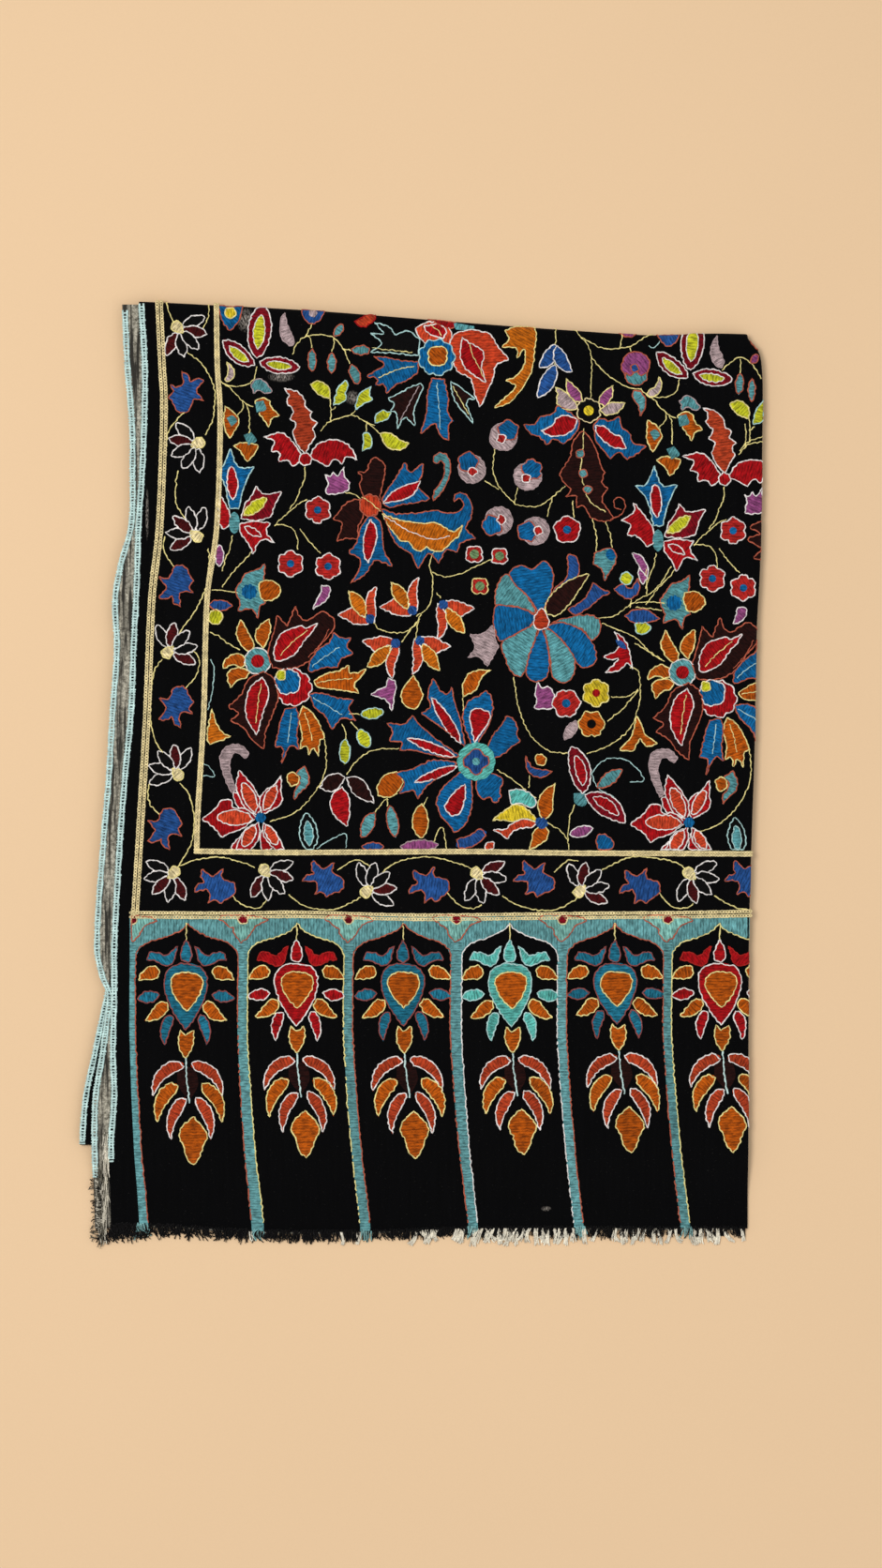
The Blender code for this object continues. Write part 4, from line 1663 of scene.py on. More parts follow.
# Triple leaf and the lime leaves round it, the lotus under them and the crown
TRIPLE_LEAF = """
stems
0.8 325 498 325 510 320 523 316 534 309 543
0.8 293 561 301 552 310 545 319 537 328 533
0.8 293 560 303 560 313 564 317 572 318 586
0.8 320 564 331 578 342 590
0.8 349 526 362 525 375 526 385 532 393 541
0.8 342 460 350 451 362 446 377 443 390 450 400 454
0.8 391 450 399 457 408 465
0.8 391 450 391 462
0.8 352 425 353 438 353 450
0.8 353 438 358 434
0.8 374 443 379 438
shapes
lime straw 352,425^ 346,424 338,419 331,410^ 340,406 349,411 352,418
lime mist 356,432^ 358,421 362,412 369,405^ 371,412 368,420 370,426^ 363,430
lime mist 379,437^ 381,426 386,418 396,412^ 394,420 398,426^ 388,431
lime mist 400,451^ 401,443 408,438 418,440^ 412,448
lime mist 392,461^ 387,464 388,473 386,481^ 395,477 397,468
lime straw 406,462^ 416,462 427,469 437,473^ 429,479 417,479 409,471
tile white 303,414^ 312,416 320,420 326,428^ 326,434 333,439^ 331,445 339,451^ 334,457 337,465^
  331,474 326,484^ 317,474 312,461^ 316,452 309,447^ 313,438 306,430^ 308,421
crimson white 322,487^ 313,472 300,462 281,466^ 293,471 289,481^ 298,483 297,493^ 307,491 312,498^
  319,493
crimson white 330,488^ 336,477 345,471 358,469 369,473 376,480 381,491^ 370,487 365,495^ 357,490
  350,498^ 341,493
discs
326 490 10 0 0 0 crimson white
"""
LOTUS = """
stems
0.8 248 590 246 602 241 615 237 628
0.8 270 606 260 617 248 630 237 645
0.8 226 648 240 649 254 651
shapes
crimson white 245,565 237,551 224,536^ 224,547 210,555^ 221,560 217,571^ 228,572 238,583^ 245,579
wine white 257,572^ 262,556 268,549 273,537^ 282,546 301,543^ 294,556 290,570^ 275,574
crimson white 256,578^ 270,575 289,577^ 284,586 293,598^ 279,595 270,610^ 264,597 257,588
azure mist 245,561^ 241,541 236,529 225,518^ 237,517 246,497^ 254,517 271,517^ 264,530 259,543
  255,561^
petals
260 569 285 550 8.6 0 leaf lime straw
261 581 279 591 6 0 leaf crimson white
249 552 247 516 8.6 0 lens crimson white
250 565 250 588 8.6 0 round slate
234 623 234 600 7 0 lens plum white
"""
CROWN = """
shapes
plum white 347,506^ 352,509 356,503^ 360,508 367,498^ 367,508 374,514^ 370,524 358,527 348,526
  350,515
"""
LEAF_REPEATS = ((0, 0), (447, 21))
LOTUS_SHIFT = {"across": 1.011, "down": 0.9, "up": 19}
SIX_PETAL = """
discs
0 0 21.5 6 30 0.2 brick white azure 0.28
"""
SIX_PETAL_AT = ((339, 544), (310, 601), (350, 604), (782, 566), (760, 617), (793, 627))
# Tails, antler leaf, blue twig and the rest at the top fold, then the half flower there
TOP = """
shapes
plum white 343,624^ 352,626 350,638 341,645 333,650^ 338,640 342,632
plum white 787,648^ 796,649 795,658 789,664 782,666^ 785,656
plum white 674,590^ 681,591 688,598 692,608 690,615^ 683,606 679,599
stems
0.8 592 345 593 355 593 365 592 390
0.8 612 348 618 357 628 370 631 385 630 424
0.8 631 381 640 392 651 402 670 413 684 415
0.8 620 360 640 370 650 372 671 370 683 363 697 354
0.8 661 371 663 363 664 355
0.8 672 371 676 379
0.8 770 395 778 388 788 381 797 384 805 392 812 404
0.8 790 383 790 398
0.8 788 485 797 475 808 472 818 471
0.8 795 452 796 465 795 477
mist 0.7 692 369 698 371 704 364
shapes
amber straw 568,346 572,359 570,377 567,396 557,414 542,430 527,435^ 539,424 550,412 539,406^
  552,400 560,386 559,372 552,382^ 551,371 535,371^ 543,361 538,353^ 551,348
petals
592 367 575 392 10.6 0.1 leaf royal white
594 369 610 397 10.4 -0.1 leaf royal white
592 389 573 424 11.5 0.05 leaf royal white
shapes
plum salmon 663,391 668,379 678,375 690,380 693,391 687,401 678,406 668,402
slate salmon 667,397^ 673,401 678,396 684,401 690,397^ 689,406 679,411 669,407
royal salmon 700,352^ 713,354 727,352^ 720,366 711,369 704,362
plum salmon 660,350^ 680,350^ 676,358 666,359
slate salmon 634,590^ 643,587 650,584 657,590 656,600 650,611 645,620^ 641,606 633,602^
azure - 647,588 653,585 657,591 653,598 647,594
royal salmon 322,329^ 334,327 346,331 341,342 331,345 324,338
red crimson 378,343^ 389,337 400,331^ 400,341 388,349
azure salmon 232,324^ 246,327 259,324^ 256,340 246,353^ 238,344
royal salmon 799,356^ 808,362 818,366^ 814,374 804,369
petals
690 421 703 402 6.5 -0.25 bud mauve straw
675 418 683 443 8.5 0.2 bud slate salmon
771 391 765 358 8.5 0.15 bud mauve mauve
790 398 788 421 6.4 0 lens slate salmon
802 404 802 428 5.6 0 lens slate salmon
802 388 808 378 5.6 0 lens plum salmon
discs
246 334 9 6 0 0.1 lemon straw
334 334 7 5 0 0.15 mauve
677 393 6.5 0 0 0 royal salmon
"""
HALF_FLOWER = """
shapes
black mist 446,379^ 430,378 414,376 395,376^ 407,366 394,355^ 410,356 399,344^ 416,349 421,358^
  434,353 448,362^
azure salmon 446,386^ 430,385 416,382 398,380^ 410,389 391,401^ 403,404 400,411^ 410,410 412,420^
  423,410 434,406 446,397^
bark mist 449,409^ 438,413 427,419 413,425^ 421,431 416,439^ 423,441 424,458^ 432,445 443,455^
  442,436 452,412^
azure salmon 460,404^ 474,404^ 478,424 478,440 484,449^ 479,453 479,470^ 469,464 464,452 449,462^
  455,440 456,422
bark mist 481,407^ 489,411 497,418 507,425^ 498,429 505,452^ 493,438 484,424
red white 443,351^ 452,345 466,344 479,350 482,360 477,372^ 466,366 455,366 448,360
crimson white 452,348^ 466,346 476,352 473,361 463,358 455,354
crimson salmon 456,339^ 474,341 492,347 478,350 465,345
slate - 484,344^ 506,348^ 505,355 494,352 486,351
coral white 481,362 488,355 504,352 523,356^ 531,370^ 543,383^ 529,390 527,402 521,414^ 517,425
  512,434^ 506,420 503,406 497,400 490,398 484,388 480,376
crimson white 493,360^ 503,367 516,376 514,392 519,409^ 505,400 495,391 491,377
discs
466 381 30 9 0 0.16 azure mist
467 380 17 4 45 0.14 rust straw
stems
0.7 442 391 425 394 404 403
0.7 397 371 412 373 440 376
mauve 0.8 447 412 438 428 427 448
mist 0.7 466 408 468 430 470 458
0.7 483 412 490 424 500 442
0.7 501 366 505 380 512 394 516 403
0.7 458 347 465 351 471 358
"""
# Winged flower, the round buds on their stems and what lies beside them
WINGED = """
shapes
bark salmon 622,460 611,473 608,488 598,504 601,514 609,522 603,530^ 615,529 615,541^ 623,540
  630,551 644,556 655,553^ 648,543 642,532 649,521^ 642,515 645,504^ 640,494 635,477
azure salmon 618,448^ 604,437 594,432^ 590,441 576,445 571,452 558,453^ 567,463 576,466 583,475^
  591,468 601,474^ 609,467 616,459
azure salmon 633,454^ 640,446 650,449 661,444^ 663,455 672,463 675,472 690,476^ 679,484 668,490^
  660,482 651,490^ 643,480 636,470
crimson white 616,447^ 603,443 594,446 590,453 577,460^ 588,465 602,464 612,458
crimson white 635,454^ 645,455 654,463 662,466 668,479^ 654,477 643,470 637,462
mauve straw 592,413^ 601,416 611,425 618,436^ 604,437 594,430^ 595,421
plum straw 604,404^ 612,411 619,419 622,431^ 612,427 605,417
mauve straw 640,438^ 650,430 667,430^ 661,438 650,443
plum straw 654,411^ 653,423 645,434^ 638,429^ 643,419
stems
0.8 623 457 622 478 620 500 624 523 632 537 646 546
salmon 0.9 651 554 662 549 667 540 664 531 656 532 656 541 663 543
discs
628 438 20 6 90 0.16 black cream lemon 0.4
619 484 6.8 0 0 0 slate salmon
622 505 6.8 0 0 0 slate salmon
627 522 6.8 0 0 0 slate salmon
stems
0.8 528 479 526 502 534 521 550 538
0.8 517 513 526 518 532 522
0.8 552 520 549 538
0.8 550 538 572 540 589 531 595 525 603 518
0.8 589 531 586 541 584 551
0.8 611 534 612 552
0.8 632 553 636 570 636 588
0.8 646 556 651 570 653 584
"""
ROUND_BUD = """
discs
-1 1 22 0 0 0 mauve mauve
4 -6 17 5 20 0.2 azure salmon
-3 3 8 4 30 0.3 brick white
"""
ROUND_BUDS_AT = ((538, 465, 0), (503, 499, 62), (564, 507, 5), (531, 556, 160), (570, 566, 130))
BUDS = """
discs
605 565 22 5 20 0.16 crimson white azure 0.3
506 591 15 4 45 0.25 brick white olive 0.5
533 593 14.5 4 45 0.25 brick white olive 0.5
512 625 15 4 45 0.25 brick straw olive 0.5
shapes
slate salmon 462,534 463,525 469,516 474,506 474,495 470,491 465,495 462,488 468,483 476,485 480,493
  480,506 475,519 467,530
"""
BUTTERFLY = """
shapes
bark salmon 389,533^ 384,518 386,508 381,503^ 391,503 395,492 399,488^ 407,491 411,499 409,512
  405,533^
azure salmon 407,533^ 414,521 422,510 432,493^ 438,504 451,494^ 451,505 446,518 459,532^ 446,536
  430,538 414,541
bark salmon 390,534^ 378,533 367,539 361,547 355,554^ 365,557 363,567 359,577^ 370,574 382,575^
  382,562 388,549
azure salmon 407,543^ 424,548 446,547 465,544 478,547 489,546 495,538 490,531 484,535^ 486,527
  495,526 503,537 503,552 497,564 508,574^ 493,578 488,589^ 476,587 468,601^ 458,590 446,607^
  438,590 426,583 416,567
azure salmon 394,549^ 385,562 381,577 372,590^ 383,595 384,606 374,622^ 390,612 400,598 419,604^
  410,588 408,572 406,556
crimson white 409,537^ 418,525 432,518 449,513^ 442,526 430,533
amber straw 408,548^ 424,554 440,557 452,558 463,557 474,562 484,567 494,560^ 489,572 483,577
  478,582^ 470,588 462,587 455,583^ 448,588 440,583 436,577^ 428,577 422,570 414,560
crimson white 396,554^ 402,566 400,582 393,601^ 388,590 388,574 391,562
bark salmon 818,554^ 800,562 811,569 797,575 812,585 804,595 820,598^
discs
395 539 17.5 7 0 0.1 red salmon
stems
white 0.7 409 550 422 558 434 565 448 571 463 575 480 572
0.7 386 530 394 535 406 545
"""
# Compound flower with its fan and its pods, which comes twice
COMPOUND = """
stems
0.8 338 773 346 786 348 815 343 832 337 843 324 859 308 870 288 876
0.8 224 674 235 680 245 687 256 693
shapes
slate salmon 283,601^ 282,613 281,622 280,637 284,643^ 277,647 275,660^ 268,649 254,652^ 256,642
  251,630 257,620 263,611 273,608
rust straw 277,622 284,619 292,620 299,627 298,634 290,640 280,639 277,631
discs
266 631 13 9 0 0.2 azure
shapes
rust straw 268,697^ 258,688 252,676 257,660^ 265,675 271,686
rust straw 281,691^ 273,681 276,669 288,659^ 288,676
rust straw 265,703^ 253,697 241,703 238,713^ 248,709 258,711
rust straw 266,716^ 256,712 243,717 246,734^ 254,725 262,723
azure salmon 329,713^ 333,699 343,690 352,684 356,674^ 363,680 375,680^ 370,689 377,697^ 364,703
  360,712^ 345,712 331,717
rust straw 335,726^ 349,718 362,715 372,709^ 373,717 382,717 391,713^ 385,722 379,727 378,731
  383,739^ 370,737 355,735 340,733
azure salmon 330,740^ 345,739 359,744 378,746^ 372,754 380,769^ 366,766 354,778^ 347,764 336,754
rust straw 323,753^ 333,760 342,775 346,787 341,790 340,807^ 334,797 330,806^ 327,795 320,799^
  322,782 319,766
azure salmon 304,756^ 316,754^ 319,767 317,783 319,800^ 310,795 300,815^ 302,798 293,796^ 297,780
  300,767
discs
275 705 21 0 0 0 slate white crimson 0.5
313 733 30.5 9 0 0.14 crimson white
307 727 21.5 5 30 0.14 azure white
300 720 8.5 4 45 0.2 lime straw
shapes
bark salmon 291,712^ 286,696 291,678 296,656^ 303,664 307,668^ 315,646^ 320,658 328,662 344,652
  357,660^ 355,672 343,687 328,706 308,713
crimson white 294,704 293,690 300,676 312,670 323,667^ 326,670 339,664^ 333,674 324,684 316,696
  304,703
bark salmon 281,716^ 292,724 297,742 290,764 283,781 282,799^ 269,789 261,777 246,768^ 255,760
  243,754^ 257,741 265,725
crimson white 280,722^ 287,738 281,760 274,784^ 264,767 262,750 268,732
stems
0.7 299 699 309 688 318 680 328 672
0.7 279 729 276 746 273 771
salmon 0.7 329 701 342 687 351 671
mist 0.7 333 711 345 701 362 690
mist 0.7 334 744 348 752 365 762
mist 0.7 311 760 309 778 307 792
0.7 338 728 358 725 376 723
0.7 325 760 330 775 333 790
"""
FLOWER_REPEATS = ((0, 0), (453, 12))
# Red lily with its pair of buds and its dark leaf, which comes twice
RED_LILY = """
shapes
mauve mauve 247,845^ 240,830 235,812 238,800 247,794 258,795 266,803^ 262,809 256,804 249,804
  245,814 247,828 252,842^
crimson white 275,870^ 263,868 252,858 248,845^ 256,846 268,850
crimson white 275,878^ 264,888 252,896 247,905 262,905 272,896
crimson white 282,880^ 291,888 291,905 280,906 278,892
crimson white 274,872^ 262,862 250,862 247,853^ 237,853 230,862 215,874^ 229,883 236,893^ 246,888
  258,884
crimson white 275,869^ 262,862 255,848 252,838 255,821^ 265,832 274,845 279,858
crimson white 280,868^ 277,852 284,842 292,838 300,826^ 300,842 300,856 290,864
crimson white 276,877^ 262,884 256,895 252,908 262,908 270,904 277,890
crimson white 281,877^ 281,890 288,900 297,908 303,906 298,894 291,884
petals
270 873 231 871 12 0 lens red white
273 866 259 834 9.5 0 lens red white
282 864 295 837 8.5 0 lens red white
272 880 259 903 9 0 lens red white
284 880 296 901 8 0 lens red white
discs
278 872 9 6 0 0.2 azure
shapes
slate salmon 325,817^ 330,829 328,838 319,846 314,853^ 314,843 319,837 320,829 316,824
rust straw 306,829 312,823 319,829 317,836 310,839^
petals
331 909 327 866 14.5 0 leaf black mist slate
"""
LILY_REPEATS = ((0, 0), (457, 5))
# The vines of the middle and the leaves and flowers on them
MIDDLE = """
stems
0.8 399 664 405 671 420 675 434 673 445 664 449 655
0.8 444 657 455 650 461 636 461 615 458 603 463 588
0.8 429 685 435 675 448 660
0.8 443 683 447 661
0.8 461 610 475 615 492 612 505 605 526 596
0.8 466 632 470 638
0.8 372 761 386 762
0.8 374 770 384 780
0.8 365 772 369 781 369 790
0.8 370 826 378 814 390 804 404 799 426 798
0.8 494 758 494 744
0.8 400 866 412 852 424 846
0.8 413 860 414 852
0.8 451 860 456 850
mist 0.8 225 703 228 713 227 735 222 757
mist 0.8 217 815 224 818 229 828 217 827
mist 0.8 338 905 352 896 369 889 369 904
0.8 462 900 468 885 473 884 476 905
0.8 548 722 550 737 554 757 560 774 568 787 578 796 590 802 606 803
0.8 626 804 645 797 662 787 676 770 682 750 683 730 680 714 672 712
0.8 652 743 668 743 681 735
0.8 648 769 665 755 681 736
0.8 642 665 655 670 668 675 680 682 692 694 706 703
0.8 633 659 655 657 668 648 680 640 695 632 705 622 716 604
0.8 690 634 690 620 689 606
0.8 672 648 673 637
0.8 678 643 694 642 709 643
0.8 613 858 608 872 606 892 607 906
0.8 530 821 545 830 560 842 572 851
0.8 565 827 564 840
0.8 584 877 598 886 606 897
mist 0.8 631 825 642 812 658 808 674 814 687 832 672 834
mist 0.8 631 825 638 840 655 850
shapes
plum white 414,723^ 422,728 421,742 418,758^ 411,746 395,741^ 405,735 412,732
amber straw 226,756^ 231,771 238,781 247,785^ 238,789 232,791 224,794^ 221,786 223,772
mauve mauve 502,676^ 512,677 527,666^ 528,680 532,690^ 526,700 520,711^ 511,700 499,701^ 507,691
plum white 573,726^ 579,734 585,732 591,741 589,755 570,756^ 573,747 571,741
rust straw 679,763^ 684,772 689,784 702,793^ 690,796 683,788 676,801^ 662,799 671,789 676,778
royal salmon 561,806^ 566,816 575,820 589,822^ 580,829 568,827 562,819
rust straw 571,807 577,804 583,809 580,816 573,815^
royal salmon 655,628^ 664,623 672,628 681,616^ 682,630 672,639 662,635
slate - 612,846^ 624,845^ 626,856 621,860 613,856
bark white 368,830^ 362,825 349,828 341,840^ 351,844 360,841
bark white 370,829^ 380,828 390,835 400,856^ 386,852 376,845
crimson white 655,673^ 660,684 657,694 643,700^ 652,704 661,702 646,717^ 661,715 669,707 675,714^
  673,702 670,690 664,680
royal salmon 666,657^ 676,651 689,650 705,660^ 690,664 676,664
lime mist 677,665^ 688,664 694,668 690,675 680,676
rust straw 441,720^ 448,732 451,744 443,757^ 432,752 428,740 434,729
rust straw 494,743^ 494,730 500,718 509,715 524,714^ 514,722 508,735
rust straw 423,823^ 430,832 426,842 417,850 404,849^ 403,838 410,827
rust straw 450,857^ 456,868 457,880 451,893 443,888 440,875 443,864
crimson white 365,839^ 372,850 373,866 370,881^ 359,872 352,858 356,846
azure salmon 637,892 646,890 654,897 653,905 638,905
petals
385 762 410 759 8.6 0 lens lime mist
383 778 393 797 10 0 lens lime mist
368 788 368 815 8.6 0 lens lime mist
399 866 386 893 10 0 lens slate salmon
416 859 422 893 8.8 0 lens slate salmon
386 903 410 903 7 0 lens royal salmon
427 903 468 901 9.5 0 lens plum mauve
487 899 516 885 9 -0.15 band royal salmon
608 890 633 883 8.8 0 leaf plum white
518 906 527 898 7 0 leaf red white
223 645 248 646 8.5 0 leaf royal salmon
622 846 609 796 16.5 -0.06 lens wine white crimson
624 848 667 878 17 0.08 leaf wine white crimson
637 840 664 820 9.5 0 leaf slate salmon
615 769 602 789 8.6 0 leaf mauve mauve
657 682 668 692 4.6 0 lens royal
discs
230 658 11.5 0 0 0 lime straw
604 750 23 6 0 0.18 brick white azure 0.3
636 739 22.5 6 30 0.2 lemon straw crimson 0.28
631 772 21.5 6 0 0.18 rust straw black 0.34
668 617 10 0 0 0 lime mist
"""
# The big blue and teal flower
BIG_FLOWER = """
shapes
royal salmon 588,640^ 592,627 603,618 606,605 606,592 615,594 618,608 612,622 600,640
royal salmon 606,650^ 622,640 630,628 633,621^ 640,627 651,632^ 640,638 628,648 614,656
azure salmon 575,654^ 564,637 551,625 543,617 546,608 556,603 568,607 580,598 590,611 588,632
  581,648
slate salmon 574,656^ 563,637 550,624 541,612 532,621 528,636 530,646 545,646 560,650
azure salmon 574,658^ 560,650 545,647 530,646 526,662 532,682 541,683 552,675 565,668
slate salmon 574,664^ 563,669 549,677 535,686 539,702 545,716 556,721 563,708 570,686
slate salmon 588,664^ 602,660 620,656 636,658 641,670 632,683 622,672 606,666
azure salmon 583,668^ 592,676 604,688 613,703 622,712 635,706 634,690 620,672 600,664
slate salmon 580,669^ 584,686 587,704 590,722 601,728 611,722 613,703 602,686 590,674
azure salmon 577,668^ 570,684 563,705 562,721 571,727 583,722 586,704 583,684
petals
585 656 629 612 16 0.05 bud bark straw
577 672 578 648 12.5 0 bud coral white
"""
# The blue star flower with red stripes, and the iris
STAR_FLOWER = """
shapes
azure salmon 497,797^ 482,784 466,772 449,761^ 459,754 456,741 462,723^ 470,736 478,740 482,732^
  485,748 491,768
azure salmon 491,806^ 472,793 449,774 440,763^ 431,772 413,771^ 419,780 415,790^ 429,792 426,800^
  441,800 462,805 478,808
azure salmon 489,813^ 474,811 460,811 440,820 422,824^ 431,834 426,847^ 440,843 446,852^ 456,838
  475,824
azure salmon 500,818^ 483,830 469,845 466,857 472,873^ 478,878 485,888^ 496,879 503,862 504,840
azure salmon 506,798^ 499,784 494,768 497,752 505,744 512,742 518,736^ 524,743 526,756 522,772
  514,785
azure salmon 519,800^ 524,787 532,777 541,764 549,769 553,778^ 551,784 555,790 547,796 541,801
  533,807^ 526,808
azure salmon 510,826^ 508,838 511,848 516,853^ 522,850 528,856 535,850^ 533,842 537,834 530,826
petals
492 793 460 743 8 0 leaf crimson white
486 807 434 787 7 0 leaf crimson white
488 817 442 834 7 0 leaf crimson white
496 836 480 869 13.5 0 drop crimson white
506 792 514 756 16 0 fan crimson white
discs
508 812 31 12 0 0.05 aqua
508 812 21 4 0 0.3 royal salmon slate 0.3
shapes
aqua white 543,843^ 555,842 566,846 572,857 566,861 556,857 545,858^
lemon straw 525,875^ 535,867 548,858 560,861 570,870 573,877^ 560,873 545,876 536,874
red white 573,877^ 560,873 546,878 540,884 525,885^ 534,889 541,895^ 546,888 556,883 568,882
rust straw 578,874^ 574,857 579,845 592,835^ 590,850 589,865 583,873
rust straw 578,880^ 585,886 583,895 573,902 565,906^ 567,896 570,886
royal - 572,873 580,872 585,879 578,884 572,880
"""
# Small lilies, from their feet: where they lie, how they are turned and which are mirrored
SMALL_LILY = """
shapes
red white 5,3^ 7,-8 6,-20 8,-36^ 2,-32 -2,-26 -4,-18 -3,-8
red white -34,-5^ -27,-9 -21,-12 -15,-16^ -12,-8 -6,-3 0,-2^ 0,4 -8,5 -17,4 -24,0^ -29,-2
amber straw -22,-31^ -12,-27 -5,-19 -3,-10 -4,-2^ -12,-7 -19,-15 -21,-24
"""
LILY_FOOT = """
discs
1 -1 8 4 45 0.1 royal
"""
SMALL_LILIES_AT = (
    (394, 661, 0, 1),
    (439, 652, 0, 1),
    (421, 687, -165, -1),
    (447, 684, 180, 1),
    (472, 646, 184, 1),
)


def field_limits():
    """The lines that the field's flowers stop at, beside the inner cord."""
    xs, ys = pixels(INNER_CORD)
    xs, ys = flat_x(xs + 2.0), flat_y(ys)
    return (lambda y: np.interp(y, ys[::-1], xs[::-1])), float(flat_y(906))


def sew_upper_field(work, limits):
    """The corner, the top fold's flowers, the winged flower and the butterfly."""
    for across, down in CORNER_REPEATS:
        for chart, across_share, down_share in CORNER:
            sew(work, chart, (across * across_share, down * down_share), limits)
    sew(work, TWIGS, limits=limits)
    for across, down in LEAF_REPEATS:
        sew(work, TRIPLE_LEAF, (across, down), limits)
        lotus = (across * LOTUS_SHIFT["across"], down * LOTUS_SHIFT["down"] - LOTUS_SHIFT["up"])
        sew(work, LOTUS, lotus, limits)
        sew(work, CROWN, (across, down), limits)
    for at in SIX_PETAL_AT:
        sew(work, SIX_PETAL, at, limits)
    for chart in (TOP, HALF_FLOWER, WINGED):
        sew(work, chart, limits=limits)
    for *at, turn in ROUND_BUDS_AT:
        sew(work, ROUND_BUD, at, limits, turn=turn)
    for chart in (BUDS, BUTTERFLY):
        sew(work, chart, limits=limits)


def sew_lower_field(work, limits):
    """The compound flowers, the red lilies and the big flowers of the middle."""
    for chart, repeats in ((COMPOUND, FLOWER_REPEATS), (RED_LILY, LILY_REPEATS)):
        for at in repeats:
            sew(work, chart, at, limits)
    for chart in (MIDDLE, BIG_FLOWER, STAR_FLOWER):
        sew(work, chart, limits=limits)
    for *at, turn, flip in SMALL_LILIES_AT:
        sew(work, SMALL_LILY, at, limits, flip=flip, turn=turn)
        sew(work, LILY_FOOT, at, limits)


# Edges and fringe


EDGE = {"pitch": 2.3 * MM, "reach": 4.3 * MM, "step": 1.3 * MM, "least": 0.9 * MM, "wander": 0.35 * MM}
# The two rails: how far in each lies and how high
RAILS = ((0.55 * MM, 0.15 * MM), (EDGE["reach"] - 0.7 * MM, 0.3 * MM))
RAIL_WAVES = {"along": 260, "across": 5000, "least": 0.3}
# A rung's places: how high each lies, and how far in the last three lie, which wrap round the edge
RUNG_LIFTS, RUNG_WRAP = np.array([0.1, 0.35, 0.3, -0.35, -1.2]) * MM, (0.25 * MM, -0.35 * MM, -0.3 * MM)
RUNG = {"bend": 0.6, "pitch": (0.8, 1.2), "long": (0.85, 1.12), "lean": (-0.4, 0.4)}
RUNG_DYE, RUNG_GAUGE = (0.85, 1.08), (0.75, 1.0)


def edge_ladder(point_at, y_from, y_to, seed):
    """Overcast stitches along a long edge: two rails, and rungs that wrap round the edge."""
    chance = np.random.default_rng(seed)
    teal = np.array(linear(DYES["pale_teal"]))
    lines = []
    ys = np.arange(y_from, y_to, -EDGE["step"])
    for offset, lift in RAILS:
        waves = np.sin(ys * RAIL_WAVES["along"] + offset * RAIL_WAVES["across"])
        wander = EDGE["wander"] * waves * chance.uniform(RAIL_WAVES["least"], 1.0, len(ys))
        lines.append((point_at(offset + wander, ys, lift), False, teal, 1.0))
    y = y_from
    while y > y_to:
        y -= EDGE["pitch"] * chance.uniform(*RUNG["pitch"])
        inner = EDGE["reach"] * chance.uniform(*RUNG["long"])
        reach = np.array([inner, inner * RUNG["bend"], *RUNG_WRAP])
        lean = chance.uniform(*RUNG["lean"]) * MM
        points = point_at(reach, y + lean * reach / inner, RUNG_LIFTS)
        lines.append((points, False, teal * chance.uniform(*RUNG_DYE), chance.uniform(*RUNG_GAUGE)))
    return lines


def top_edge(offset, y, lift):
    """Places along the edge of the top panel, on its face."""
    offset, y, lift = np.broadcast_arrays(offset, y, lift)
    x = selvedge("top", np.minimum(y, top_line(-0.226))) + offset
    return on_face(x, y) + np.stack([0 * lift, 0 * lift, lift], -1)


def under_edge(layer, height):
    """Places along the edge of a lower layer, whose upper side is at the height that height gives."""

    def point_at(offset, y, lift):
        """Places at an offset from the edge and a lift over its upper side."""
        offset, y, lift = np.broadcast_arrays(offset, y, lift)
        x = selvedge(layer, y) + offset
        return np.stack([x, y, np.maximum(height(x, y) + lift, EDGE["least"])], -1)

    return point_at


# Each edge: where its places lie, from which height to which pixel it is sewn, the seeds of its
# stitches and of its knots, and its slot
EDGES = {
    "top": (top_edge, 0.377, 1236, 11, 5, "embroidered_face"),
    "second": (
        under_edge("second", lambda x, y: top_third_height(x, y) - (HALF - WALL)),
        0.372, 1255, 12, 6, "wrong_side",
    ),
    "third": (
        under_edge("third", lambda x, y: MIDDLE_THIRD + HALF + 0 * x),
        -0.172, 1218, 13, 7, "embroidered_face",
    ),
}
EDGE_THREAD = {"Radius": 0.8 * MM, "Stitch": 1.1 * MM, "Uneven": 0.22, "Sides": 4}
FRINGE = {"clump": (3, 12), "parts": 7, "thread": 0.48 * MM, "tufts_apart": 6.5, "tuft": 7, "ends": 797}
# Chances of the black threads and of the cream tufts: spreads of a clump's lean and turn and of each
# thread's heading and curl, then ranges of millimetres and of shares
BLACK = {
    "lean": 0.35, "turn": 0.4, "heading": 0.14, "curl": 0.3,
    "root": (0.5, 2.2), "foot": (0.6, 1.5), "gauge": (0.6, 1.15), "teal": 0.8,
}
TUFTS = {
    "lean": 0.3, "turn": 0.5, "heading": 0.06, "curl": 0.2, "aside": 1.1,
    "long": (0.78, 1.05), "hair": (0.85, 1.0), "foot": (0.6, 0.9), "gauge": (1.1, 1.6),
}
HUNG_DYE, LEAST_HEIGHT = (0.85, 1.2), 1.35
FRINGE_THREAD = {"Radius": FRINGE["thread"], "Stitch": 1.2 * MM, "Uneven": 0.3, "Sides": 3, "Seed": 8}
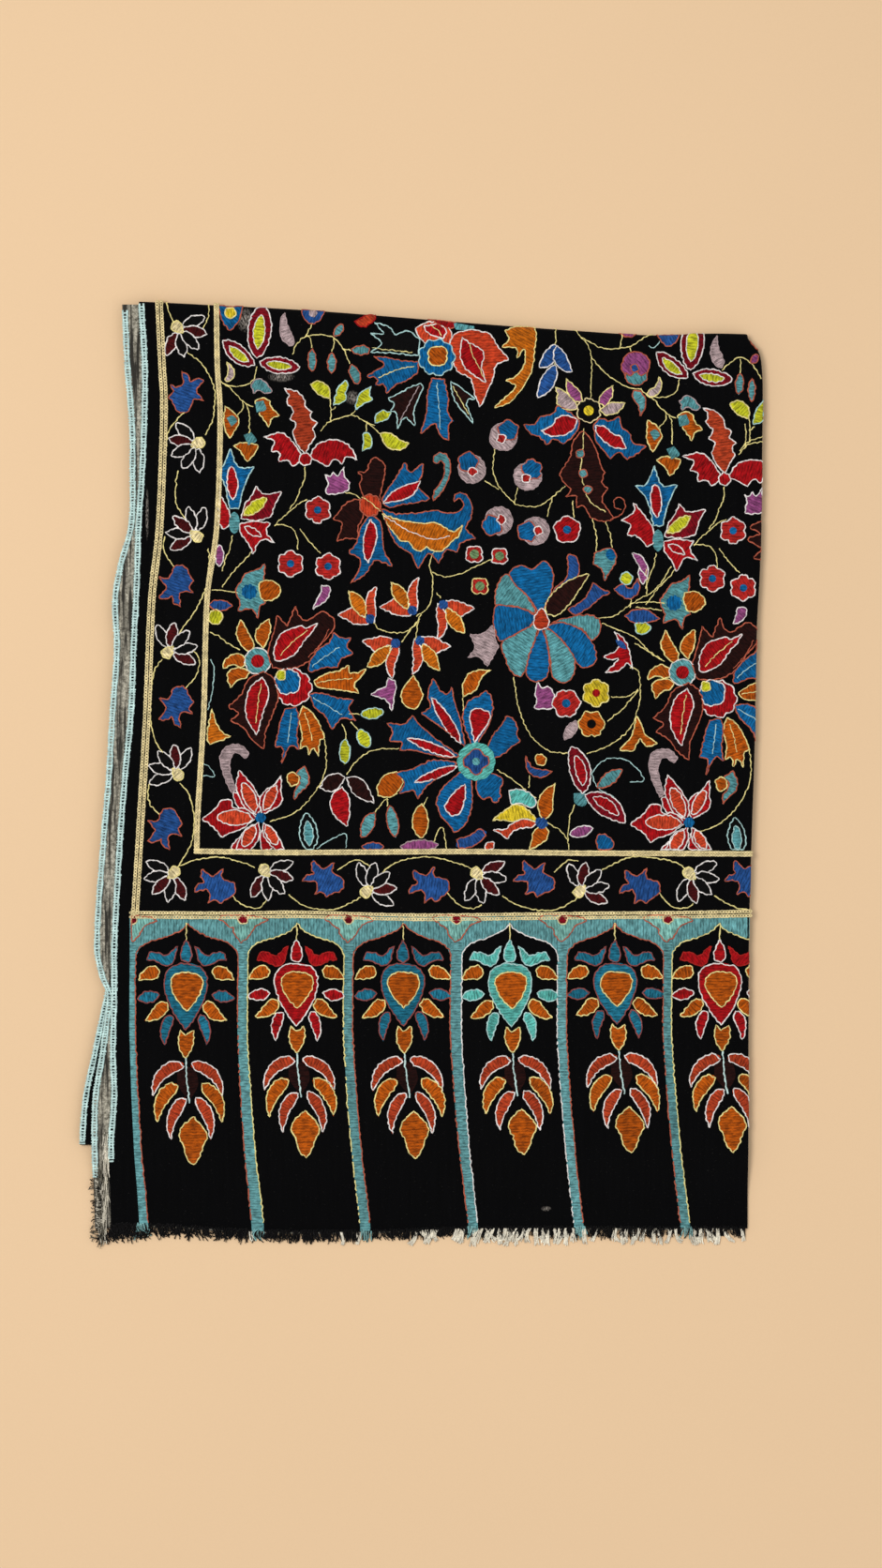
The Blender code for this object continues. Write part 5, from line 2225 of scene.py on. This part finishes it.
# Frayed threads along the hem: lengths, curl and gauge of the black ones, then the share and the
# length of the cream tufts that show under them
FRAY = rows_of("px shortest longest curl gauge pale tuft", """
96 8 16 4 1.3 0 8
150 7 14 3.6 1.3 0.03 8
200 6 12 2.4 1.2 0.03 8
300 6 10.5 1.3 1.05 0.08 10
420 6 9.5 0.9 1.05 0.3 12
450 5.5 9 0.8 1 0.65 13
560 6 10 0.8 1 0.72 14.5
700 6 10 0.8 1 0.62 14
760 5.5 9 0.8 1 0.6 13.5
815 5 8 0.8 1 0.6 12
""")
PILLAR_ENDS, PILLAR_REACH = (152, 273, 390, 505, 619, 732.5), 6
DOWN = -math.pi / 2
# Loose threads of the edges at the lower left: where they start, in the photograph's pixels,
# how many there are, how long, which way they run and how they curl
LOOSE = rows_of("px py to_px to_py wide count shortest longest heading curl dyes", """
114 1206 110 1306 3.6 120 10 20 -92 0.22 fleece-fleece-fleece-ash
101 1244 102 1324 3 80 3 5 -10 1.6 ash-fleece-ash-char
107 1236 106 1318 5 40 8 16 -90 0.4 ash-ash-fleece-char
99 1256 100 1326 1.5 30 2.5 4.5 -160 2.6 char-ash
104 1318 160 1314 3 46 6 10 -80 4.2 char
""")


def strand(root, heading, curl, long, foot, parts):
    """A frayed thread from its root: it turns evenly as it goes and sinks to its foot."""
    turn = heading + curl * np.linspace(-0.3, 1, parts)
    steps = np.stack([np.cos(turn), np.sin(turn)], -1) * long / parts
    plan = np.vstack([[0, 0], np.cumsum(steps, axis=0)])
    sink = ease(np.linspace(0, 1.15, parts + 1)) * (foot - root[2])
    return np.column_stack([root[0] + plan[:, 0], root[1] + plan[:, 1], root[2] + sink])


def frayed(root_at, start, strands, seed, dull):
    """Frayed threads along a hem: black ones in clumps that lean together, cream tufts under them."""
    chance = np.random.default_rng(seed)
    lines = []

    def at(px, key):
        """A column of the fringe at a pixel across."""
        return between(FRAY, "px", key, px)

    def hang(root, heading, curl, long, foot, name, gauge):
        """Keeps one frayed thread, held above the floor."""
        points = strand(root, heading, curl, long * MM, foot * MM, FRINGE["parts"])
        points[:, 2] = np.maximum(points[:, 2], LEAST_HEIGHT * gauge * FRINGE["thread"])
        lines.append((points, False, np.array(linear(DYES[name])) * chance.uniform(*HUNG_DYE), gauge))

    left = 0
    for px in np.sort(chance.uniform(start, FRINGE["ends"], strands)):
        if left == 0:
            left = int(chance.integers(*FRINGE["clump"]))
            lean, turn = chance.normal(0, BLACK["lean"]), chance.normal(0, BLACK["turn"])
        left -= 1
        near_pillar = min(abs(px - end) for end in PILLAR_ENDS) < PILLAR_REACH
        root = root_at(float(flat_x(px)), chance.uniform(*BLACK["root"]) * MM, 0.15 * MM)
        heading = DOWN + lean + chance.normal(0, BLACK["heading"])
        curl = (turn + chance.normal(0, BLACK["curl"])) * at(px, "curl")
        long = chance.uniform(at(px, "shortest"), at(px, "longest"))
        foot = chance.uniform(*BLACK["foot"])
        teal = near_pillar and chance.uniform() < BLACK["teal"] * dull
        gauge = chance.uniform(*BLACK["gauge"]) * at(px, "gauge")
        hang(root, heading, curl, long, foot, "faded_teal" if teal else "char", gauge)
    for px in np.arange(start, FRINGE["ends"], FRINGE["tufts_apart"]):
        if chance.uniform() > at(px, "pale") * dull:
            continue
        lean, turn = chance.normal(0, TUFTS["lean"]), chance.normal(0, TUFTS["turn"])
        long = at(px, "tuft") * chance.uniform(*TUFTS["long"])
        for _ in range(FRINGE["tuft"]):
            spot = px + chance.normal(0, TUFTS["aside"])
            root = root_at(float(flat_x(spot)), 0.4 * MM, -0.8 * MM)
            heading = DOWN + lean + chance.normal(0, TUFTS["heading"])
            curl = turn + chance.normal(0, TUFTS["curl"])
            hair, foot = long * chance.uniform(*TUFTS["hair"]), chance.uniform(*TUFTS["foot"])
            hang(root, heading, curl, hair, foot, "fleece", chance.uniform(*TUFTS["gauge"]))
    return lines


def loose_threads(seed):
    """Loose threads of the frayed edges at the lower left."""
    chance = np.random.default_rng(seed)
    lines = []
    for row in LOOSE:
        dyes = row["dyes"].split("-")
        for _ in range(int(row["count"])):
            t = chance.uniform()
            x = flat_x(row["px"] + (row["to_px"] - row["px"]) * t)
            x = x + chance.uniform(-0.5, 0.5) * row["wide"] * MM
            y = flat_y(row["py"] + (row["to_py"] - row["py"]) * t)
            over = top_third_height(x, y) - (HALF - WALL) + chance.uniform(0.3, 1.3) * MM
            root = np.array([float(x), float(y), max(float(over), 1.0 * MM)])
            heading = math.radians(row["heading"]) + chance.normal(0, 0.06 + 0.08 * row["curl"])
            long = chance.uniform(row["shortest"], row["longest"]) * MM
            foot = max(root[2] - chance.uniform(0, 0.8) * MM, 0.5 * MM)
            points = strand(root, heading, chance.normal(0, 0.5) * row["curl"], long, foot, 9)
            dye = np.array(linear(DYES[dyes[int(chance.integers(len(dyes)))]])) * chance.uniform(0.7, 1.15)
            lines.append((points, False, dye, chance.uniform(0.6, 1.2)))
    return lines


def top_root(x, inside, lift):
    """Root of a thread inside the top hem."""
    return on_face(x, hem(x) + inside, lift)


def second_root(x, inside, lift):
    """Root of a thread inside the second hem, under its edge."""
    y = path(np.array([x]), np.array([0.0]), SECOND_LONGER, SECOND_TUCKED)[0][0]
    return np.array([x, y + inside, top_third_height(x, y) - (HALF - WALL) + min(lift, 0) - 0.2 * MM])


# Ground, stage and camera

FLOOR = {"size": 6.0, "z": -0.0004, "colour": (236, 203, 164)}
LIGHTS = {
    "key light": {"place": (-1.15, 0.45, 3.0), "power": 50, "size": 1.2, "colour": (1.0, 0.98, 0.95)},
    "fill light": {"place": (1.6, -1.2, 2.4), "power": 12, "size": 2.4, "colour": (0.95, 0.97, 1.0)},
}
SKY = {"colour": (1.0, 0.98, 0.96, 1), "strength": 0.5}


def floor_material():
    """Plain pale floor with a faint grain."""
    material, tree, shader = new_material("Plain floor", 0.9, 0.0)
    place = add_node(tree, "ShaderNodeTexCoord").outputs["Object"]
    tone = total(tree, (noise(tree, place, 900.0, 3.0), 0.05), (noise(tree, place, 2.2, 2.0), 0.05))
    colour_by(tree, shader, opaque(FLOOR["colour"]), maths(tree, "ADD", tone, 0.95))
    return material


def area_light(name, place, power, size, colour):
    """A square light at a place, aimed at the shawl's middle."""
    data = bpy.data.lights.new(name, "AREA")
    data.energy, data.size, data.color = power, size, colour
    light = put_in_scene(name, data)
    light.location = place
    light.rotation_euler = (-Vector(place)).to_track_quat("-Z", "Y").to_euler()
    return light


def set_camera(scene):
    """The camera straight over the photograph's middle, from where the whole picture is seen."""
    camera = bpy.data.cameras.new("camera")
    camera.sensor_fit = "VERTICAL"
    camera.sensor_height = SENSOR
    camera.lens = SENSOR * (CAMERA_HEIGHT - 0.01) / (PHOTO["high"] * PIXEL)
    eye = put_in_scene("camera", camera)
    eye.location = (flat_x(PHOTO["wide"] / 2), flat_y(PHOTO["high"] / 2), CAMERA_HEIGHT)
    scene.camera = eye


# The shawl's sizes and the operators that make it


class ShawlSizes(bpy.types.PropertyGroup):
    """Sizes of the threads that the shawl is worked in."""

    outline: bpy.props.FloatProperty(
        name="Outline thread", description="Radius of the thread laid round each filling",
        default=0.52 * MM, precision=5, unit="LENGTH",
    )
    stitch: bpy.props.FloatProperty(
        name="Stitch", description="Length of thread between two knots of an outline",
        default=1.5 * MM, precision=5, unit="LENGTH",
    )


class SHAWL_OT_stage(bpy.types.Operator):
    """Sets the plain floor, the soft light and the camera over the shawl"""

    bl_idname = "shawl.stage"
    bl_label = "Stage"

    def execute(self, context):
        scene = context.scene
        half = FLOOR["size"] / 2
        corners = [(x * half, y * half, FLOOR["z"]) for x, y in ((-1, -1), (1, -1), (1, 1), (-1, 1))]
        floor = new_mesh("floor", corners, [(0, 1, 2, 3)])
        floor.data.materials.append(floor_material())
        key, fill = (area_light(name, **how) for name, how in LIGHTS.items())
        world = scene.world or bpy.data.worlds.new("Soft studio")
        scene.world = world
        world.use_nodes = True
        sky = world.node_tree.nodes["Background"]
        sky.inputs["Color"].default_value = SKY["colour"]
        sky.inputs["Strength"].default_value = SKY["strength"]
        set_camera(scene)
        scene.view_settings.view_transform = "Standard"
        return {"FINISHED"}


def shell(name, points, places, material, nodes):
    """Cloth shell: a grid of points of its outer face, thickened inwards."""
    rows, columns = points.shape[:2]
    obj = new_mesh(name, points, grid_faces(rows, columns).tolist())
    give_uv(obj, places)
    obj.data.materials.append(material)
    thick = obj.modifiers.new("Cloth thickness", "SOLIDIFY")
    thick.thickness = WALL
    thick.offset = -1
    finish_piece(obj, nodes)
    return obj


def top_places():
    """Flat places of the top panel: across its width and round the right fold, and over the top."""
    g = TOP_GRID
    u = stations((0, 1, g["across"]), (1, 2, g["round"]), (2, 3, g["lip"]))[None, :]
    up = ((0, 0.03, 8), (0.03, 0.11, 26), (0.11, 1, g["down"] - 34))
    v = stations(*up, (1, 2, g["over"]), (2, 3, g["tuck"]))[:, None]
    x = np.zeros((v.size, u.size))
    for _ in range(4):
        plan_x = np.minimum(x, RIGHT_FOLD["x"][-1])
        foot, top = hem(plan_x), top_line(plan_x)
        ways = [foot + (top - foot) * v, top + math.pi * REACH * (v - 1)]
        y = np.select([v <= 1, v <= 2], ways, top + math.pi * REACH + TOP_LIP * (v - 2))
        plan_y = np.minimum(y, top)
        left, fold = selvedge("top", plan_y), right_fold(plan_y) - HALF
        ways = [left + (fold - left) * u, fold + math.pi * HALF * (u - 1)]
        x = np.select([u <= 1, u <= 2], ways, fold + math.pi * HALF + LIP * (u - 2))
    return x, y


class SHAWL_OT_cloth(bpy.types.Operator):
    """Makes the folded wool: the top panel, the two layers that show under it and the inner folds"""

    bl_idname = "shawl.cloth"
    bl_label = "Cloth"

    def execute(self, context):
        wool = wool_material()
        x, y = top_places()
        shell("top_cloth", on_face(x, y), np.stack([x, y], -1), wool, ("top_panel",))
        g = STRIP_GRID
        lip = LIP / (RIGHT_FOLD["x"][-1] - SELVEDGES["top"][-1])
        seam = SEAM / (RIGHT_FOLD["x"][-1] - SELVEDGES["second"][-1])
        length = TOP_FOLD["y"][0] - LOWER_FOLD["y"][0]
        past, hidden = TOP_LIP / length, HIDDEN_SEAM / length
        u = stations((2 + lip + seam, 3 - EDGE_SHARE, g["hidden"]), (3 - EDGE_SHARE, 3, g["edge"]))[None, :]
        up = ((0, 0.03, 8), (0.03, 0.11, 22), (0.11, 1, g["down"]))
        v = stations(*up, (1, 2, g["round"]), (2, 2 + past, 3))[:, None]
        u, v = np.broadcast_arrays(u, v)
        points = place(u, v, "second")
        shell("second_cloth", points, points[..., :2], wrong_side_material(), ("second_layer",))
        back = ((2, 3 - EDGE_SHARE, g["hidden"]), (3 - EDGE_SHARE, 3, g["edge"]))
        u = stations((1 - lip, 1, 2), (1, 2, 8), *back)[None, :]
        v = stations((2 + past + hidden, 3, g["down"]), (3, 3.85, g["round"]))[:, None]
        u, v = np.broadcast_arrays(u, v)
        points = place(u, v, "third")
        shell("third_cloth", points, points[..., :2], wool, ("third_layer",))
        inner_cloth(wool)
        return {"FINISHED"}


def ring(i):
    """Outline of the inner folds at one level, anticlockwise from the top left corner."""
    inset = {side: INNER_RINGS[side][i] for side in RING_SIDE_STEPS}
    low = LOWER_FOLD["y"][0] + inset["lower"]
    high = TOP_FOLD["y"][0] - inset["top"]

    def edge_x(side, y):
        """Place across of the left or right side."""
        if side == "left":
            return np.maximum(selvedge("third", y), selvedge("second", y)) + inset["left"]
        return right_fold(y) - 2 * RIGHT_STEP - inset["right"]

    def edge_y(side, x):
        """Place up of the lower or top side."""
        if side == "lower":
            return smooth(LOWER_FOLD, "x", "y", x) + inset["lower"]
        return smooth(TOP_FOLD, "x", "y", x) - inset["top"]

    def corner(x_side, y_side):
        """Where two sides meet."""
        y = low if y_side == "lower" else high
        for _ in range(3):
            x = edge_x(x_side, y)
            y = edge_y(y_side, x)
        return float(x), float(y)

    turns = (("left", "top"), ("left", "lower"), ("right", "lower"), ("right", "top"))
    corners = [corner(*turn) for turn in turns]
    outline = []
    for side, (start, end) in zip(RING_SIDE_STEPS, zip(corners, corners[1:] + corners[:1])):
        count = RING_SIDE_STEPS[side]
        share = (np.arange(count) + 0.5) / count
        t = share - CORNER_PULL * np.sin(2 * math.pi * share) / (2 * math.pi)
        x = start[0] + (end[0] - start[0]) * t
        y = start[1] + (end[1] - start[1]) * t
        wander = LAYER_WANDER * (1 + np.sin(t * 40 + i // 7 * 2.1))
        if side in ("left", "right"):
            x = edge_x(side, y) + (wander if side == "left" else -wander)
        else:
            y = edge_y(side, x)
        outline.append(np.stack([x, y, np.full(count, INNER_RINGS["z"][i])], -1))
    return np.concatenate(outline)


def inner_cloth(material):
    """The folds inside, as one body with its layers showing round the edges."""
    rings = np.stack([ring(i) for i in range(len(INNER_RINGS["z"]))])
    levels, count = rings.shape[:2]
    faces = []
    for level in range(levels - 1):
        a = np.arange(count)
        b = (a + 1) % count
        faces += (np.stack([a, b, b + count, a + count], -1) + level * count).tolist()
    faces.append(list(range(count))[::-1])
    faces.append([k + (levels - 1) * count for k in range(count)])
    obj = new_mesh("inner_cloth", rings, faces)
    obj.data.set_sharp_from_angle(angle=math.radians(60))
    give_uv(obj, rings[..., :2])
    obj.data.materials.append(material)
    finish_piece(obj, ("inner_folds",))


class SHAWL_OT_cords(bpy.types.Operator):
    """Lays the cream cords of the border in chain stitch"""

    bl_idname = "shawl.cords"
    bl_label = "Border cords"

    def execute(self, context):
        yarn, cream = laid_material("Cream cord", 0.7), linear(DYES["cream"])
        for name, (paths, apart, wide, seed) in CORDS.items():
            lines = []
            for line in paths:
                flat = curve_through(placed(*pixels(line)))
                for side in (-1, 1):
                    x, y = beside(flat, side * apart).T
                    lines.append((on_face(x, y, CORD_LIFT), False, cream, 1.0))
            obj = worked(name, lines, "Chain stitch", Wide=wide, Seed=seed, Material=yarn, **CHAIN)
            finish_piece(obj)
        return {"FINISHED"}


def finish_work(context, work, name):
    """The fills and the outlines of one stretch of embroidery, as two pieces."""
    sizes = context.scene.shawl_sizes
    finish_piece(work.fills(name + "_fills", stitched()))
    thread = {"Radius": sizes.outline, "Stitch": sizes.stitch, "Uneven": 0.34, "Sides": 4, "Seed": 1}
    lines = work.laid_lines()
    obj = worked(name + "_outlines", lines, "Laid thread", Material=laid(), **thread)
    finish_piece(obj)


class SHAWL_OT_border(bpy.types.Operator):
    """Sews the lotuses, stars and stems between the cords"""

    bl_idname = "shawl.border"
    bl_label = "Border flowers"

    def execute(self, context):
        work = Work(5)
        sew_border(work)
        finish_work(context, work, "border")
        return {"FINISHED"}


class SHAWL_OT_arches(bpy.types.Operator):
    """Sews the band of arches at the end, with what hangs in each"""

    bl_idname = "shawl.arches"
    bl_label = "Arches"

    def execute(self, context):
        work = Work(6)
        sew_arches(work)
        finish_work(context, work, "arch")
        return {"FINISHED"}


class SHAWL_OT_field(bpy.types.Operator):
    """Sews the flowers, leaves and vines of the field"""

    bl_idname = "shawl.field"
    bl_label = "Field flowers"

    def execute(self, context):
        limits = field_limits()
        fields = {"upper_field": (7, sew_upper_field), "lower_field": (8, sew_lower_field)}
        for name, (seed, sew_field) in fields.items():
            work = Work(seed)
            sew_field(work, limits)
            finish_work(context, work, name)
        return {"FINISHED"}


class SHAWL_OT_edges(bpy.types.Operator):
    """Overcasts the long edges in pale teal thread"""

    bl_idname = "shawl.edges"
    bl_label = "Edge stitches"

    def execute(self, context):
        for name, (point_at, y_from, foot_py, seed, knots, slot) in EDGES.items():
            lines = edge_ladder(point_at, y_from, flat_y(foot_py), seed)
            piece = name + "_edge_stitches"
            obj = worked(piece, lines, "Laid thread", Seed=knots, Material=laid(), **EDGE_THREAD)
            finish_piece(obj)
        return {"FINISHED"}


class SHAWL_OT_fringe(bpy.types.Operator):
    """Frays the hems into short black and cream threads, and the lower left edges too"""

    bl_idname = "shawl.fringe"
    bl_label = "Fringe"

    def execute(self, context):
        made = (
            ("top_frayed_threads", frayed(top_root, 117, 980, 21, 1.0), ("top_fringe",)),
            ("second_frayed_threads", frayed(second_root, 98, 440, 22, 0.6), ("second_fringe",)),
            ("loose_threads", loose_threads(23), ()),
        )
        for name, lines, nodes in made:
            obj = worked(name, lines, "Laid thread", Material=laid(), **FRINGE_THREAD)
            finish_piece(obj, nodes)
        return {"FINISHED"}


OPERATORS = (
    SHAWL_OT_stage,
    SHAWL_OT_cloth,
    SHAWL_OT_cords,
    SHAWL_OT_border,
    SHAWL_OT_arches,
    SHAWL_OT_field,
    SHAWL_OT_edges,
    SHAWL_OT_fringe,
)


class SHAWL_PT_panel(bpy.types.Panel):
    """Lists the shawl's pieces, in the order in which they are made"""

    bl_label = "Kalamkari shawl"
    bl_idname = "SHAWL_PT_panel"
    bl_space_type = "VIEW_3D"
    bl_region_type = "UI"
    bl_category = "Shawl"

    def draw(self, context):
        for name in ("outline", "stitch"):
            self.layout.prop(context.scene.shawl_sizes, name)
        for operator in OPERATORS:
            self.layout.operator(operator.bl_idname)


CLASSES = (ShawlSizes, *OPERATORS, SHAWL_PT_panel)


def register():
    """Adds the shawl's operators, its panel and its sizes."""
    for item in CLASSES:
        bpy.utils.register_class(item)
    bpy.types.Scene.shawl_sizes = bpy.props.PointerProperty(type=ShawlSizes)


def unregister():
    """Takes them away again."""
    del bpy.types.Scene.shawl_sizes
    for item in reversed(CLASSES):
        bpy.utils.unregister_class(item)


def main():
    """Makes every piece."""
    register()
    for operator in OPERATORS:
        group, call = operator.bl_idname.split(".")
        getattr(getattr(bpy.ops, group), call)()


if __name__ == "__main__":
    main()
